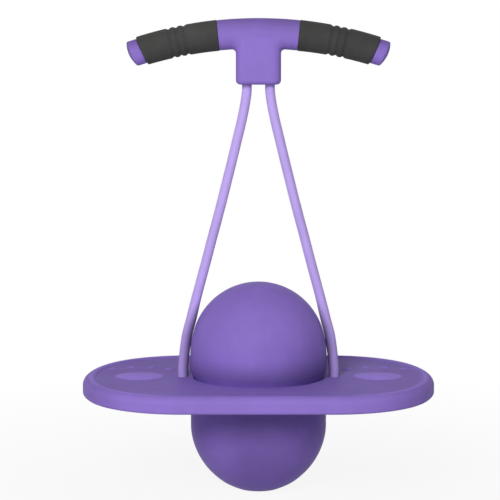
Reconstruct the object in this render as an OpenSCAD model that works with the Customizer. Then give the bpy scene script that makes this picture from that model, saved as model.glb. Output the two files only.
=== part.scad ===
// Pogo board: a moulded deck round a waisted air ball, with an arched T handle on an elastic cord.
// Millimetres. The origin is the middle of the ball's foot on the ground, +Z up, +X along the deck.

/* [Deck] */
// Length of the deck, end to end
deck_l = 400; // [370:1:430]
// Depth of the deck, front to back
deck_d = 280; // [264:1:296]
// Height of the rim's crest above the ground
deck_z = 131; // [126:0.5:136]
// Height of the deck from the skirt's lower edge to the rim's crest
deck_h = 19.5; // [18.5:0.5:23]
// Radius of the deck's four corners in plan
deck_corner_r = 111; // [104:1:118]
// Radius of the deck's two ends in plan
deck_end_r = 184; // [176:1:194]
// Radius of the rolled rim
rim_r = 6; // [5:0.5:8]
// Depth of the tread below the rim's crest
tread_drop = 2; // [1.5:0.1:3]
// Thickness of the tread
tread_t = 3.5; // [3:0.1:4.5]
// Wall of the skirt, the ball collar and the cord bosses
deck_wall = 3; // [2.4:0.1:3.4]
// Radius of the skirt's outer lower edge
skirt_edge_r = 1.2; // [0.8:0.1:1.5]
// Thickness of the ribs under the tread
rib_t = 2.4; // [1.8:0.1:3]
// Distance between ribs
rib_pitch = 45; // [40:1:52]
// Distance from the skirt's lower edge up to the ribs
rib_lift = 5; // [3:0.5:6]

/* [Grip relief] */
// Distance of each foot pad from the middle of the deck
pad_x = 136; // [130:1:140]
// Length of a foot pad
pad_l = 58; // [50:1:62]
// Depth of a foot pad, front to back
pad_d = 56; // [48:1:60]
// Height of a foot pad above the tread
pad_h = 2.6; // [1.6:0.1:3.2]
// Radius of a grip stud
stud_r = 5.8; // [4.5:0.1:6.5]
// Height of a grip stud above the tread
stud_h = 2; // [1.2:0.1:2.4]
// Radius of the arc of studs behind each pad
stud_arc_r = 56; // [50:0.5:60]
// Angle of the two inner studs to the deck's depth
stud_inner_angle = 12; // [9:1:16]
// Angle of the two outer studs to the deck's depth
stud_outer_angle = 36; // [30:1:42]

/* [Ball] */
// Radius of the ball's two domes
ball_r = 76.5; // [74.5:0.1:77]
// Radius of the waist where the deck grips the ball
ball_waist_r = 73; // [70:0.5:73.5]
// Radius of the flat foot that the ball stands on
ball_foot_r = 20; // [14:1:26]
// Height of the upper dome's middle above the rim's crest
ball_rise = 30; // [27:0.5:33]
// Wall of the ball
ball_wall = 3; // [2:0.1:4]
// Clearance round the ball in the deck
ball_fit = 0.3; // [0.2:0.05:0.6]

/* [Valve] */
// Angle of the valve from the top of the ball, towards the back
valve_angle = 50; // [35:1:65]
// Radius of the valve's neck through the ball's wall
valve_neck_r = 6; // [5:0.1:7]
// Radius of the valve's inner and outer flanges
valve_flange_r = 9; // [8:0.1:11]
// Thickness of each flange
valve_flange_t = 1.4; // [1:0.1:2]
// Radius of the air hole
valve_hole_r = 2.2; // [1.8:0.1:2.8]
// Clearance between the valve and the ball, and under the plug's head
valve_fit = 0.3; // [0.2:0.05:0.5]
// Radius of the plug's head
plug_head_r = 4.6; // [3.6:0.1:5.6]
// Thickness of the plug's head
plug_head_t = 1.6; // [1.2:0.1:2.4]
// Length of the plug's stem below its head
plug_stem_l = 9; // [7:0.5:12]
// Clearance round the plug's stem
plug_fit = 0.25; // [0.15:0.05:0.4]

/* [Cord] */
// Thickness of the elastic cord
cord_d = 11; // [9:0.5:11.5]
// Distance of each cord hole from the middle of the deck
cord_x = 86; // [85:0.5:90]
// Half the distance between the two strands at the stem
strand_x = 13; // [12:0.5:14.5]
// Clearance round the cord in the deck and in the stem
cord_fit = 0.5; // [0.3:0.1:0.8]
// Depth from the tread's surface to the underside of a cord boss
boss_depth = 9; // [7:0.5:10]
// Outer radius of a cord stop
stop_r = 8.3; // [7.6:0.1:9]
// Length of a cord stop
stop_l = 8; // [6:0.5:8.5]
// Radius of the rounded lower edge of a cord stop
stop_edge_r = 1.2; // [0.6:0.1:1.8]
// Clearance between a cord stop and the cord, and round the stop
stop_fit = 0.15; // [0.05:0.05:0.3]

/* [Handle] */
// Height of the bar's axis at its crown
bar_z = 518.5; // [508:0.5:530]
// Radius of the bar's arch
arch_r = 445; // [415:5:480]
// Radius of the bar's bare middle
bar_r = 17; // [16:0.1:18]
// Half length of the bar's bare middle, along the arch
hub_half = 46.5; // [44:0.5:50]
// Radius of the arms under the grips
core_r = 13.5; // [13:0.1:14]
// Radius of the hollow in the arms
arm_hollow_r = 9.6; // [8:0.1:9.8]
// Wall of the bar and the stem
handle_wall = 2.8; // [2.2:0.1:3.2]
// Width of the stem
stem_w = 50.6; // [48:0.2:54]
// Step from the bar's face back to the stem's face
stem_step = 0.5; // [0.3:0.1:1]
// Distance from the bar's axis at its crown down to the stem's mouth
stem_l = 57; // [54:0.5:60]
// Thickness of the stem's floor
mouth_t = 4; // [3:0.5:6]
// Radius of the stem's rounded lower edge
stem_edge_r = 4; // [2.5:0.5:6]
// Radius of the inside curve between the bar and the stem
crotch_r = 4.5; // [3:0.5:7]
// Height of the cord's post above the stem's mouth
post_rise = 25; // [22:0.5:28]
// Clearance between the post and the cord
post_fit = 0.3; // [0.2:0.1:0.6]

/* [Handle screws] */
// Distance of the two outer screws from the middle, along the arch
screw_s = 34; // [32:0.5:36]
// Radius of a screw's shank
screw_r = 1.8; // [1.5:0.1:2]
// Radius of a screw's head
screw_head_r = 3.7; // [3.3:0.1:3.9]
// Thickness of a screw's head
screw_head_t = 2.4; // [1.8:0.1:2.8]
// Length of a screw under its head
screw_l = 19; // [16:0.5:21]
// Depth of a screw's seat below the bar's rear face
screw_seat = 5; // [4:0.1:5.5]
// Clearance round a screw's shank and head
screw_fit = 0.3; // [0.2:0.1:0.5]
// Wall of the screw bosses round the screw's head
boss_wall = 1.6; // [1.2:0.1:2]

/* [Grips and end caps] */
// Length of a grip, along the arch
grip_l = 86.5; // [80:0.5:94]
// Radius of a grip at its inner end
grip_r = 17.4; // [16.8:0.1:18.4]
// Radius of a grip at its outer end
grip_tip_r = 16.8; // [15.8:0.1:17.2]
// Clearance between a grip's bore and its arm
grip_fit = 0.4; // [0.3:0.1:0.6]
// Distance of the middle groove from the middle of the bar, along the arch
groove_s = 90; // [84:0.5:96]
// Distance between grooves
groove_pitch = 8.4; // [7.4:0.1:9]
// Width of a groove
groove_w = 6.4; // [5.4:0.1:6.8]
// Depth of a groove
groove_depth = 1.5; // [1:0.1:1.8]
// Radius of an end cap
cap_r = 14.6; // [14.4:0.1:15.4]
// Length of an end cap's side
cap_l = 12.5; // [9:0.5:15]
// Height of an end cap's dome
cap_dome = 3.5; // [2.5:0.1:5]
// Length of an end cap's spigot
spigot_l = 14; // [10:0.5:16]
// Radius of an end cap's spigot
spigot_r = 10.4; // [10.2:0.05:10.6]
// Clearance round a spigot in its arm
spigot_fit = 0.3; // [0.2:0.05:0.4]

/* [Hidden] */
$fn = 96;

// Cutters reach this far past what they cut
over = 1;
// Larger than the whole board, for cutting it in half
far = 800;

purple = "#8C6CC8";
deep_purple = "#7A5BB6";
lilac = "#B99BEE";
charcoal = "#3E3E3D";
zinc = "#A9ABB0";

// Deck heights
skirt_z = deck_z - deck_h;
tread_z = deck_z - tread_drop;
tread_under_z = tread_z - tread_t;
rim_z = deck_z - rim_r;

// Deck plan: each end arc turns about end_x, and each corner arc about (corner_x, corner_y)
end_x = deck_l / 2 - deck_end_r;
corner_reach = deck_end_r - deck_corner_r;
angle_step = 0.0001;
end_angle = angle_step * round(asin((deck_d / 2 - deck_corner_r) / corner_reach) / angle_step);
corner_x = end_x + corner_reach * cos(end_angle);
corner_y = corner_reach * sin(end_angle);
rib_count = ceil(deck_l / rib_pitch / 2);
// How far the ribs run into the skirt's wall and into the tread
rib_inset = 0.8 * deck_wall;
rib_bite = 0.5;

// Ball heights
ball_low_z = sqrt(pow(ball_r, 2) - pow(ball_foot_r, 2));
ball_high_z = deck_z + ball_rise;
ball_hole_r = ball_waist_r + ball_fit;
// How far the shoulders lie inside the domes, and how far they run into the waist
dome_seam = 0.02;
waist_lap = 5;

// Cord fits
cord_r = cord_d / 2;
cord_hole_r = cord_r + cord_fit;
stop_bore_r = cord_r + stop_fit;
boss_z = tread_z - boss_depth;
stop_z = boss_z - stop_l;
cord_sides = 10;

// Right half of the cord as [x, z], from its stop over the tread and the neck's foot to the stem's mouth.
// Its bends were drawn as [x, height above the tread] for the cord hole, strand and mouth named here
drawn_cord_x = 86;
drawn_strand_x = 13;
drawn_rise = 332.5;
stem_z = bar_z - stem_l;
function cord_at(drawn) = [
    strand_x + (drawn[0] - drawn_strand_x) * (cord_x - strand_x) / (drawn_cord_x - drawn_strand_x),
    tread_z + drawn[1] * (stem_z - tread_z) / drawn_rise
];
strand_bends = [
    [86, 9], [85.2, 19], [83, 33], [80.9, 48], [77, 64.3], [71.4, 87], [65.2, 110.3], [59.1, 133],
    [53.1, 156], [47, 178.7], [41, 201.5], [35.4, 224], [29.7, 246.8], [24.2, 269.5]
];
neck_bends = [[18.9, 291.5], [14.8, 312], [13, 326.5], [13, 332.5]];
end_route = [[cord_x, stop_z], [cord_x, boss_z], [cord_x, tread_z]];
strand_route = [for (bend = strand_bends) cord_at(bend)];
neck_route = [for (bend = neck_bends) cord_at(bend)];
cord_route = concat(end_route, strand_route, neck_route);
// Rings of the cord at the tread, at the neck's foot and at the stem's mouth
tread_ring = len(end_route) - 1;
neck_ring = tread_ring + len(strand_route);
mouth_ring = neck_ring + len(neck_route);
// The loop over the post, from the right strand to the left one
post_z = stem_z + post_rise;
loop_steps = 12;
loop_turns = [for (i = [0:loop_steps]) 180 * i / loop_steps];
loop_route = concat(
    [[strand_x, stem_z], [strand_x, (stem_z + post_z) / 2]],
    [for (a = loop_turns) [strand_x * cos(a), post_z + strand_x * sin(a)]],
    [[-strand_x, (stem_z + post_z) / 2], [-strand_x, stem_z]]
);

// Handle
arch_z = bar_z - arch_r;
core_half = hub_half + grip_l + grip_fit;
stem_r = bar_r - stem_step;
stem_c = stem_w / 2 - stem_r;
elbow_inset = 0.5;
elbow_r = stem_r - elbow_inset;
bend_r = elbow_r + crotch_r;
elbow_z = arch_z + sqrt(pow(arch_r, 2) - pow(stem_c + bend_r, 2));
post_r = strand_x - cord_r - post_fit;
socket_r = spigot_r + spigot_fit;
socket_l = spigot_l + over;
screw_seat_y = bar_r - screw_seat;
screw_head_hole_r = screw_head_r + screw_fit;
screw_boss_r = screw_head_hole_r + boss_wall;
// Screws as [distance along the arch, height above the arch's axis, boss radius]
screws = [
    [-screw_s, 0, screw_boss_r], [screw_s, 0, screw_boss_r], [0, post_z - bar_z, post_r]
];

// Grip rings: distances along the arch, close together at the ends and across the grooves
grip_from = hub_half;
grip_to = hub_half + grip_l;
grip_sides = 24;
grip_edge = 1.2;
grip_bore_r = core_r + grip_fit;
groove_list = [for (i = [-1:1]) groove_s + i * groove_pitch];
groove_first = groove_s - groove_pitch - groove_w / 2;
groove_last = groove_s + groove_pitch + groove_w / 2;
plain_steps = 4;
grip_rings = concat(
    [grip_from, grip_from + grip_edge / 3, grip_from + grip_edge],
    [for (i = [1:plain_steps]) grip_from + (groove_first - grip_from) * i / (plain_steps + 1)],
    [for (g = groove_list) each [for (k = [-2:2]) g + k * groove_w / 4]],
    [for (i = [1:plain_steps]) groove_last + (grip_to - groove_last) * i / (plain_steps + 1)],
    [grip_to - grip_edge, grip_to - grip_edge / 3, grip_to]
);

// Half depth of the deck's plan at x, and its half length at y, drawn in by the ribs' inset
function plan_y(x) =
    x < corner_x ? deck_d / 2 - rib_inset
    : x < end_x + (deck_end_r - rib_inset) * cos(end_angle)
        ? corner_y + sqrt(pow(deck_corner_r - rib_inset, 2) - pow(x - corner_x, 2))
        : sqrt(pow(deck_end_r - rib_inset, 2) - pow(x - end_x, 2));
function plan_x(y) =
    y < (deck_end_r - rib_inset) * sin(end_angle)
        ? end_x + sqrt(pow(deck_end_r - rib_inset, 2) - y * y)
        : corner_x + sqrt(pow(deck_corner_r - rib_inset, 2) - pow(y - corner_y, 2));

// Angle along the arch of a distance along the bar's axis
function arch_angle(s) = s / arch_r * 180 / PI;
// Radius of a shallow arc that spans a half width and a height
function crown_r(half, height) = (half * half + height * height) / (2 * height);

// Depth of the grooves at a distance along the arch
function groove_at(s, g) =
    abs(s - g) < groove_w / 2 ? groove_depth * pow(cos(180 * (s - g) / groove_w), 2) : 0;
// Rounding of a grip's ends at a distance along the arch
function grip_round(t) =
    t < grip_edge ? grip_edge - sqrt(grip_edge * grip_edge - pow(grip_edge - t, 2)) : 0;
// Outer radius of a grip at a distance along the arch
function grip_radius(s) =
    grip_r + (grip_tip_r - grip_r) * (s - grip_from) / grip_l
    - groove_at(s, groove_list[0]) - groove_at(s, groove_list[1]) - groove_at(s, groove_list[2])
    - grip_round(s - grip_from) - grip_round(grip_to - s);

// Point on a ring round the arched bar
function arch_point(s, r, turn) =
    let (a = arch_angle(s), reach = arch_r + r * cos(turn))
    [reach * sin(a), r * sin(turn), arch_z + reach * cos(a)];

// Direction of a route at one of its points
function route_step(route, i) =
    let (d = route[min(i + 1, len(route) - 1)] - route[max(i - 1, 0)]) d / norm(d);
// Ring of points square to a route, which lies in the XZ plane
function route_ring(route, i, r, sides) =
    let (t = route_step(route, i), c = route[i])
    [for (k = [0:sides - 1]) let (a = 360 * (k + 0.5) / sides, side = r * cos(a))
        [c[0] + side * t[1], r * sin(a), c[1] - side * t[0]]];

// Triangles between rings of equal size, from ring number first to ring number last
function ring_walls(first, last, sides) = [
    for (i = [first:last - 1]) for (k = [0:sides - 1])
        let (a = i * sides + k, b = i * sides + (k + 1) % sides)
        each [[a, b, b + sides], [a, b + sides, a + sides]]
];

// Tube along a route, from ring number first to ring number last
module cord_tube(route, first, last) {
    count = last - first;
    points = [for (i = [first:last]) each route_ring(route, i, cord_r, cord_sides)];
    low = [for (k = [cord_sides - 1:-1:0]) k];
    high = [for (k = [0:cord_sides - 1]) count * cord_sides + k];
    polyhedron(points, concat([low], ring_walls(0, count, cord_sides), [high]));
}

// Ring of points round the arched bar
function arch_ring(s, r) = [for (k = [0:grip_sides - 1]) arch_point(s, r, 360 * k / grip_sides)];

// Outer and inner walls of a grip as one closed tube on the right arm
module grip_tube() {
    outer = [for (s = grip_rings) arch_ring(s, grip_radius(s))];
    bore = [for (i = [plain_steps:-1:0]) arch_ring(grip_from + grip_l * i / plain_steps, grip_bore_r)];
    rings = concat(outer, bore, [outer[0]]);
    total = len(rings) - 1;
    points = [for (i = [0:total - 1]) each rings[i]];
    walls = ring_walls(0, total, grip_sides);
    polyhedron(points, [for (f = walls) [for (p = f) p % (total * grip_sides)]]);
}

// Round bar along the arch between two distances
module arch_bar(r, from, to) {
    translate([0, 0, arch_z])
        rotate([90, 0, 0])
            rotate([0, 0, 90 - arch_angle(to)])
                rotate_extrude(angle = arch_angle(to - from))
                    translate([arch_r, 0])
                        circle(r);
}

// Places a child on the arch, its Z axis along the bar and away from the middle
module on_arch(s) {
    translate([0, 0, arch_z])
        rotate([0, arch_angle(s), 0])
            translate([0, 0, arch_r])
                rotate([0, s < 0 ? -90 : 90, 0])
                    children();
}

// Both sides of the board
module both_sides() {
    children();
    mirror([1, 0, 0]) children();
}

// Shoulder between a dome and the waist, on the right of the ball's axis
module ball_shoulder(inset, middle_z, height) {
    swell = ball_r - ball_waist_r - dome_seam;
    r = crown_r(height, swell);
    intersection() {
        translate([ball_r - dome_seam - inset - r, middle_z]) circle(r);
        translate([0, middle_z]) square([ball_r, height + waist_lap]);
    }
}

// Half profile of the ball, from its flat foot over the waist to the top, drawn in by a wall
module ball_section(inset) {
    intersection() {
        union() {
            translate([0, ball_low_z]) circle(ball_r - inset);
            translate([0, ball_high_z]) circle(ball_r - inset);
            translate([0, skirt_z - waist_lap]) square([ball_waist_r - inset, deck_h + 2 * waist_lap]);
            ball_shoulder(inset, ball_low_z, skirt_z - ball_low_z);
            mirror([0, 1]) ball_shoulder(inset, -ball_high_z, ball_rise);
        }
        translate([0, inset]) square([ball_r + over, ball_high_z + ball_r]);
    }
}

// Places a child on the valve's axis, with its Z axis out of the ball
module on_valve() {
    translate([0, 0, ball_high_z])
        rotate([-valve_angle, 0, 0])
            children();
}

module ball_skin() {
    color(deep_purple)
        difference() {
            rotate_extrude() ball_section(0);
            rotate_extrude() ball_section(ball_wall);
            on_valve() cylinder(h = ball_r + over, r = valve_neck_r + valve_fit);
        }
}

module valve_seat() {
    outer_r = ball_r + valve_fit;
    inner_r = ball_r - ball_wall - valve_fit;
    color(deep_purple)
        on_valve()
            rotate_extrude()
                difference() {
                    intersection() {
                        circle(outer_r + valve_flange_t);
                        translate([valve_hole_r, 0]) square([valve_flange_r - valve_hole_r, 2 * ball_r]);
                    }
                    circle(inner_r - valve_flange_t);
                    intersection() {
                        difference() {
                            circle(outer_r);
                            circle(inner_r);
                        }
                        translate([valve_neck_r, 0]) square(2 * ball_r);
                    }
                }
}

module valve_plug() {
    head_z = ball_r + valve_fit + valve_flange_t + valve_fit;
    stem_r = valve_hole_r - plug_fit;
    edge = plug_head_t / 2;
    color(lilac)
        on_valve()
            translate([0, 0, head_z])
                rotate_extrude() {
                    translate([0, -plug_stem_l]) square([stem_r, plug_stem_l + edge]);
                    square([plug_head_r - edge, plug_head_t]);
                    intersection() {
                        translate([plug_head_r - edge, edge]) circle(edge);
                        square([plug_head_r, plug_head_t]);
                    }
                }
}

// Deck wall from the middle out to its edge: tread, rolled rim and skirt
module deck_section(reach) {
    difference() {
        union() {
            translate([0, skirt_z + skirt_edge_r]) square([reach, rim_z - skirt_z - skirt_edge_r]);
            translate([0, skirt_z]) square([reach - skirt_edge_r, skirt_edge_r]);
            translate([reach - skirt_edge_r, skirt_z + skirt_edge_r]) circle(skirt_edge_r);
            translate([0, rim_z]) square([reach - rim_r, tread_z - rim_z]);
            translate([reach - rim_r, rim_z]) circle(rim_r);
        }
        translate([-over, skirt_z - over])
            square([reach - deck_wall + over, tread_under_z - skirt_z + over]);
    }
}

// Moves a child by whole millimetres and then by what is left, which keeps small fractions exact
module finely(x, y) {
    translate([floor(x), floor(y), 0])
        translate([x - floor(x), y - floor(y), 0])
            children();
}

// A quarter of the deck's edge: half of an end, a corner and half of a side
module deck_quarter() {
    finely(end_x, 0)
        rotate_extrude(angle = end_angle)
            deck_section(deck_end_r);
    finely(corner_x, corner_y) {
        rotate([0, 0, 90])
            mirror([0, 1, 0])
                rotate_extrude(angle = 90 - end_angle)
                    deck_section(deck_corner_r);
        mirror([1, 0, 0])
            rotate([90, 0, 90])
                linear_extrude(corner_x + over)
                    deck_section(deck_corner_r);
    }
}

module deck_shell() {
    both_sides()
        for (side = [0, 1])
            mirror([0, side, 0]) deck_quarter();
    translate([0, 0, tread_under_z + tread_t / 2])
        cube([2 * corner_x + over, 2 * corner_y + over, tread_t], center = true);
}

// Ribs of the moulding, across and along, each run into the skirt's wall
module deck_ribs() {
    rib_z = skirt_z + rib_lift;
    rib_h = tread_under_z - rib_z + rib_bite;
    for (i = [-rib_count:rib_count - 1]) {
        place = (i + 0.5) * rib_pitch;
        edge = abs(place) + rib_t / 2;
        if (edge < deck_l / 2 - rim_r)
            translate([place, 0, rib_z + rib_h / 2])
                cube([rib_t, 2 * plan_y(edge), rib_h], center = true);
        if (edge < deck_d / 2 - rim_r)
            translate([0, place, rib_z + rib_h / 2])
                cube([2 * plan_x(edge), rib_t, rib_h], center = true);
    }
}

// Shallow oval crown of a foot pad
module pad_crown() {
    across_r = crown_r(pad_d / 2, pad_h);
    along_r = crown_r(pad_l / 2, pad_h);
    intersection() {
        translate([0, 0, pad_h - across_r])
            rotate([0, 90, 0])
                rotate_extrude()
                    intersection() {
                        translate([across_r - along_r, 0]) circle(along_r, $fn = 360);
                        translate([0, -pad_l / 2 - over]) square([across_r, pad_l + 2 * over]);
                    }
        translate([-pad_l, -pad_d, -tread_t / 2]) cube([2 * pad_l, 2 * pad_d, tread_t / 2 + pad_h + over]);
    }
}

// Domed grip stud
module stud() {
    dome_r = crown_r(stud_r, stud_h);
    rotate_extrude()
        intersection() {
            translate([0, stud_h - dome_r]) circle(dome_r);
            translate([0, -tread_t / 4]) square([2 * stud_r, stud_h + tread_t]);
        }
}

module grip_relief() {
    translate([pad_x, 0, tread_z]) {
        pad_crown();
        for (a = [-stud_outer_angle, -stud_inner_angle, stud_inner_angle, stud_outer_angle])
            translate([stud_arc_r * sin(a), stud_arc_r * cos(a), 0]) stud();
    }
}

module deck() {
    color(purple)
        difference() {
            union() {
                deck_shell();
                deck_ribs();
                both_sides() grip_relief();
                translate([0, 0, skirt_z])
                    cylinder(h = tread_under_z + tread_t / 2 - skirt_z, r = ball_hole_r + deck_wall);
                both_sides()
                    translate([cord_x, 0, boss_z])
                        cylinder(h = boss_depth - tread_t / 2, r = cord_hole_r + deck_wall);
            }
            translate([0, 0, skirt_z - over]) cylinder(h = deck_h + 2 * over, r = ball_hole_r);
            both_sides()
                translate([cord_x, 0, skirt_z - over]) {
                    cylinder(h = deck_h + 2 * over, r = cord_hole_r);
                    cylinder(h = boss_z - skirt_z + over, r = stop_r + stop_fit);
                }
        }
}

module right_cord_end() {
    color(lilac) cord_tube(cord_route, 0, tread_ring);
}

module left_cord_end() {
    mirror([1, 0, 0]) right_cord_end();
}

// Ferrule crimped on the cord under its boss
module right_cord_stop() {
    color(charcoal)
        translate([cord_x, 0, stop_z])
            rotate_extrude()
                difference() {
                    union() {
                        translate([0, stop_edge_r]) square([stop_r, stop_l - stop_edge_r]);
                        square([stop_r - stop_edge_r, stop_l]);
                        translate([stop_r - stop_edge_r, stop_edge_r]) circle(stop_edge_r);
                    }
                    translate([0, -over]) square([stop_bore_r, stop_l + 2 * over]);
                }
}

module left_cord_stop() {
    mirror([1, 0, 0]) right_cord_stop();
}

module right_cord() {
    color(lilac) cord_tube(cord_route, tread_ring, neck_ring);
}

module left_cord() {
    mirror([1, 0, 0]) right_cord();
}

module right_cord_neck() {
    color(lilac) cord_tube(cord_route, neck_ring, mouth_ring);
}

module left_cord_neck() {
    mirror([1, 0, 0]) right_cord_neck();
}

module cord_loop() {
    color(lilac) cord_tube(loop_route, 0, len(loop_route) - 1);
}

// Half profile of the stem, with a rounded lower edge
module stem_section(r, low, edge) {
    translate([0, low + edge]) square([r, bar_z - low - edge]);
    translate([0, low]) square([r - edge, edge]);
    intersection() {
        translate([r - edge, low + edge]) circle(edge);
        translate([r - edge, low]) square(edge);
    }
}

// Stem with two round sides
module stem_form(r, low, edge) {
    rotate([90, 0, 90])
        linear_extrude(2 * stem_c, center = true) {
            stem_section(r, low, edge);
            mirror([1, 0]) stem_section(r, low, edge);
        }
    both_sides()
        translate([stem_c, 0, 0])
            rotate([0, 0, -90])
                rotate_extrude(angle = 180)
                    stem_section(r, low, edge);
}

// Bend that rounds the inside corner between the bar and the stem
module crotch() {
    translate([stem_c + bend_r, 0, elbow_z - bend_r])
        rotate([90, 0, 0])
            rotate([0, 0, 90])
                rotate_extrude(angle = 90)
                    translate([bend_r, 0])
                        circle(elbow_r);
}

module handle_shell() {
    difference() {
        union() {
            arch_bar(bar_r, -hub_half, hub_half);
            arch_bar(core_r, -core_half, core_half);
            stem_form(stem_r, stem_z, stem_edge_r);
            both_sides() crotch();
        }
        arch_bar(bar_r - handle_wall, -hub_half + handle_wall, hub_half - handle_wall);
        arch_bar(arm_hollow_r, -core_half - over, core_half + over);
        stem_form(stem_r - handle_wall, stem_z + mouth_t, over);
        both_sides() {
            on_arch(core_half) translate([0, 0, -socket_l]) cylinder(h = socket_l + over, r = socket_r);
            translate([strand_x, 0, stem_z - over]) cylinder(h = mouth_t + 2 * over, r = cord_hole_r);
        }
    }
}

// Places a child on a screw's axis, with its Z axis out of the rear half
module on_screw(screw) {
    translate([0, 0, arch_z])
        rotate([0, arch_angle(screw[0]), 0])
            translate([0, 0, arch_r + screw[1]])
                rotate([-90, 0, 0])
                    children();
}

// Screw bosses that reach from the parting face into the wall
module handle_bosses() {
    reach = stem_r - handle_wall / 2;
    for (screw = screws)
        on_screw(screw) cylinder(h = 2 * reach, r = screw[2], center = true);
}

module screw_holes() {
    for (screw = screws)
        on_screw(screw) {
            translate([0, 0, -screw_l + screw_seat_y - over])
                cylinder(h = screw_l + over, r = screw_r + screw_fit);
            translate([0, 0, screw_seat_y]) cylinder(h = bar_r, r = screw_head_hole_r);
        }
}

// One half of the handle: the front with side -1, the rear with side 1
module handle_half(side) {
    color(purple)
        intersection() {
            difference() {
                union() {
                    handle_shell();
                    handle_bosses();
                }
                screw_holes();
            }
            translate([0, side * far / 2, far / 2]) cube([far, far, far], center = true);
        }
}

module handle_front() {
    handle_half(-1);
}

module handle_rear() {
    handle_half(1);
}

module handle_screws() {
    drive_w = screw_r / 2;
    color(zinc)
        for (screw = screws)
            on_screw(screw)
                translate([0, 0, screw_seat_y])
                    difference() {
                        union() {
                            translate([0, 0, -screw_l]) cylinder(h = screw_l, r = screw_r);
                            cylinder(h = screw_head_t, r = screw_head_r);
                        }
                        for (turn = [0, 90])
                            rotate([0, 0, turn])
                                translate([0, 0, screw_head_t])
                                    cube([screw_head_r, drive_w, screw_head_t], center = true);
                    }
}

module right_grip() {
    color(charcoal) grip_tube();
}

module left_grip() {
    mirror([1, 0, 0]) right_grip();
}

module right_end_cap() {
    dome_r = crown_r(cap_r, cap_dome);
    color(purple)
        on_arch(core_half)
            rotate_extrude() {
                translate([0, -spigot_l]) square([spigot_r, spigot_l + over]);
                square([cap_r, cap_l]);
                intersection() {
                    translate([0, cap_l + cap_dome - dome_r]) circle(dome_r);
                    translate([0, cap_l - over]) square([cap_r, cap_dome + over]);
                }
            }
}

module left_end_cap() {
    mirror([1, 0, 0]) right_end_cap();
}

ball_skin();
valve_seat();
valve_plug();
deck();
left_cord_end();
right_cord_end();
left_cord_stop();
right_cord_stop();
left_cord();
right_cord();
left_cord_neck();
right_cord_neck();
cord_loop();
handle_front();
handle_rear();
handle_screws();
left_grip();
right_grip();
left_end_cap();
right_end_cap();
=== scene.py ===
"""Pogo board: dresses the packed model with moulded, braided and rubber finishes."""
import math

import bmesh
import bpy
import numpy as np
from bpy.props import FloatProperty, FloatVectorProperty, IntProperty, PointerProperty
from mathutils import Matrix, Vector
from mathutils.geometry import delaunay_2d_cdt


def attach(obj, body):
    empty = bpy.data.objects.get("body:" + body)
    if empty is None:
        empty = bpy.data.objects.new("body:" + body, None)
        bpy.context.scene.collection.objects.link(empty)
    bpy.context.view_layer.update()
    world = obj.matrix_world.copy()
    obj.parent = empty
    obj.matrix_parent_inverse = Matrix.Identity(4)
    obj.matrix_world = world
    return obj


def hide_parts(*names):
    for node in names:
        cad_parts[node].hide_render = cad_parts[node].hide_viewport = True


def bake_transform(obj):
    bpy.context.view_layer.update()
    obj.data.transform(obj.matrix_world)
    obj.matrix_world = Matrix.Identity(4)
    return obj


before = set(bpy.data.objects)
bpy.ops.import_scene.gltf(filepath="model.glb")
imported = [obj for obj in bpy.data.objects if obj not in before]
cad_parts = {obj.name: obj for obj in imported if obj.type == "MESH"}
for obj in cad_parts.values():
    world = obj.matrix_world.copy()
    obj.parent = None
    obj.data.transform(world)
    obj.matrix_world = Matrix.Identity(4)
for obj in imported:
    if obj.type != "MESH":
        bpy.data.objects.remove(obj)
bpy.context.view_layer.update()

bl_info = {
    "name": "Pogo Board",
    "version": (1, 0, 0),
    "blender": (4, 5, 0),
    "location": "View3D > Sidebar > Pogo Board",
    "description": "Builds the looks of a pogo board on its packed frame",
    "category": "Object",
}

MM = 0.001
SIDES = ((-1, "left"), (1, "right"))


def number(name, description, default, **more):
    """A plain number."""
    return FloatProperty(name=name, description=description, default=default, **more)


def whole(name, description, default):
    """A whole number."""
    return IntProperty(name=name, description=description, default=default)


def length(name, description, default):
    """A size in metres."""
    return number(name, description, default, unit="LENGTH", precision=5)


def angle(name, description, degrees):
    """An angle, given in degrees."""
    return number(name, description, math.radians(degrees), subtype="ANGLE")


def colour(name, description, default):
    """A colour in linear light."""
    return FloatVectorProperty(
        name=name, description=description, default=default, size=3, min=0, max=1, subtype="COLOR"
    )


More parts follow.
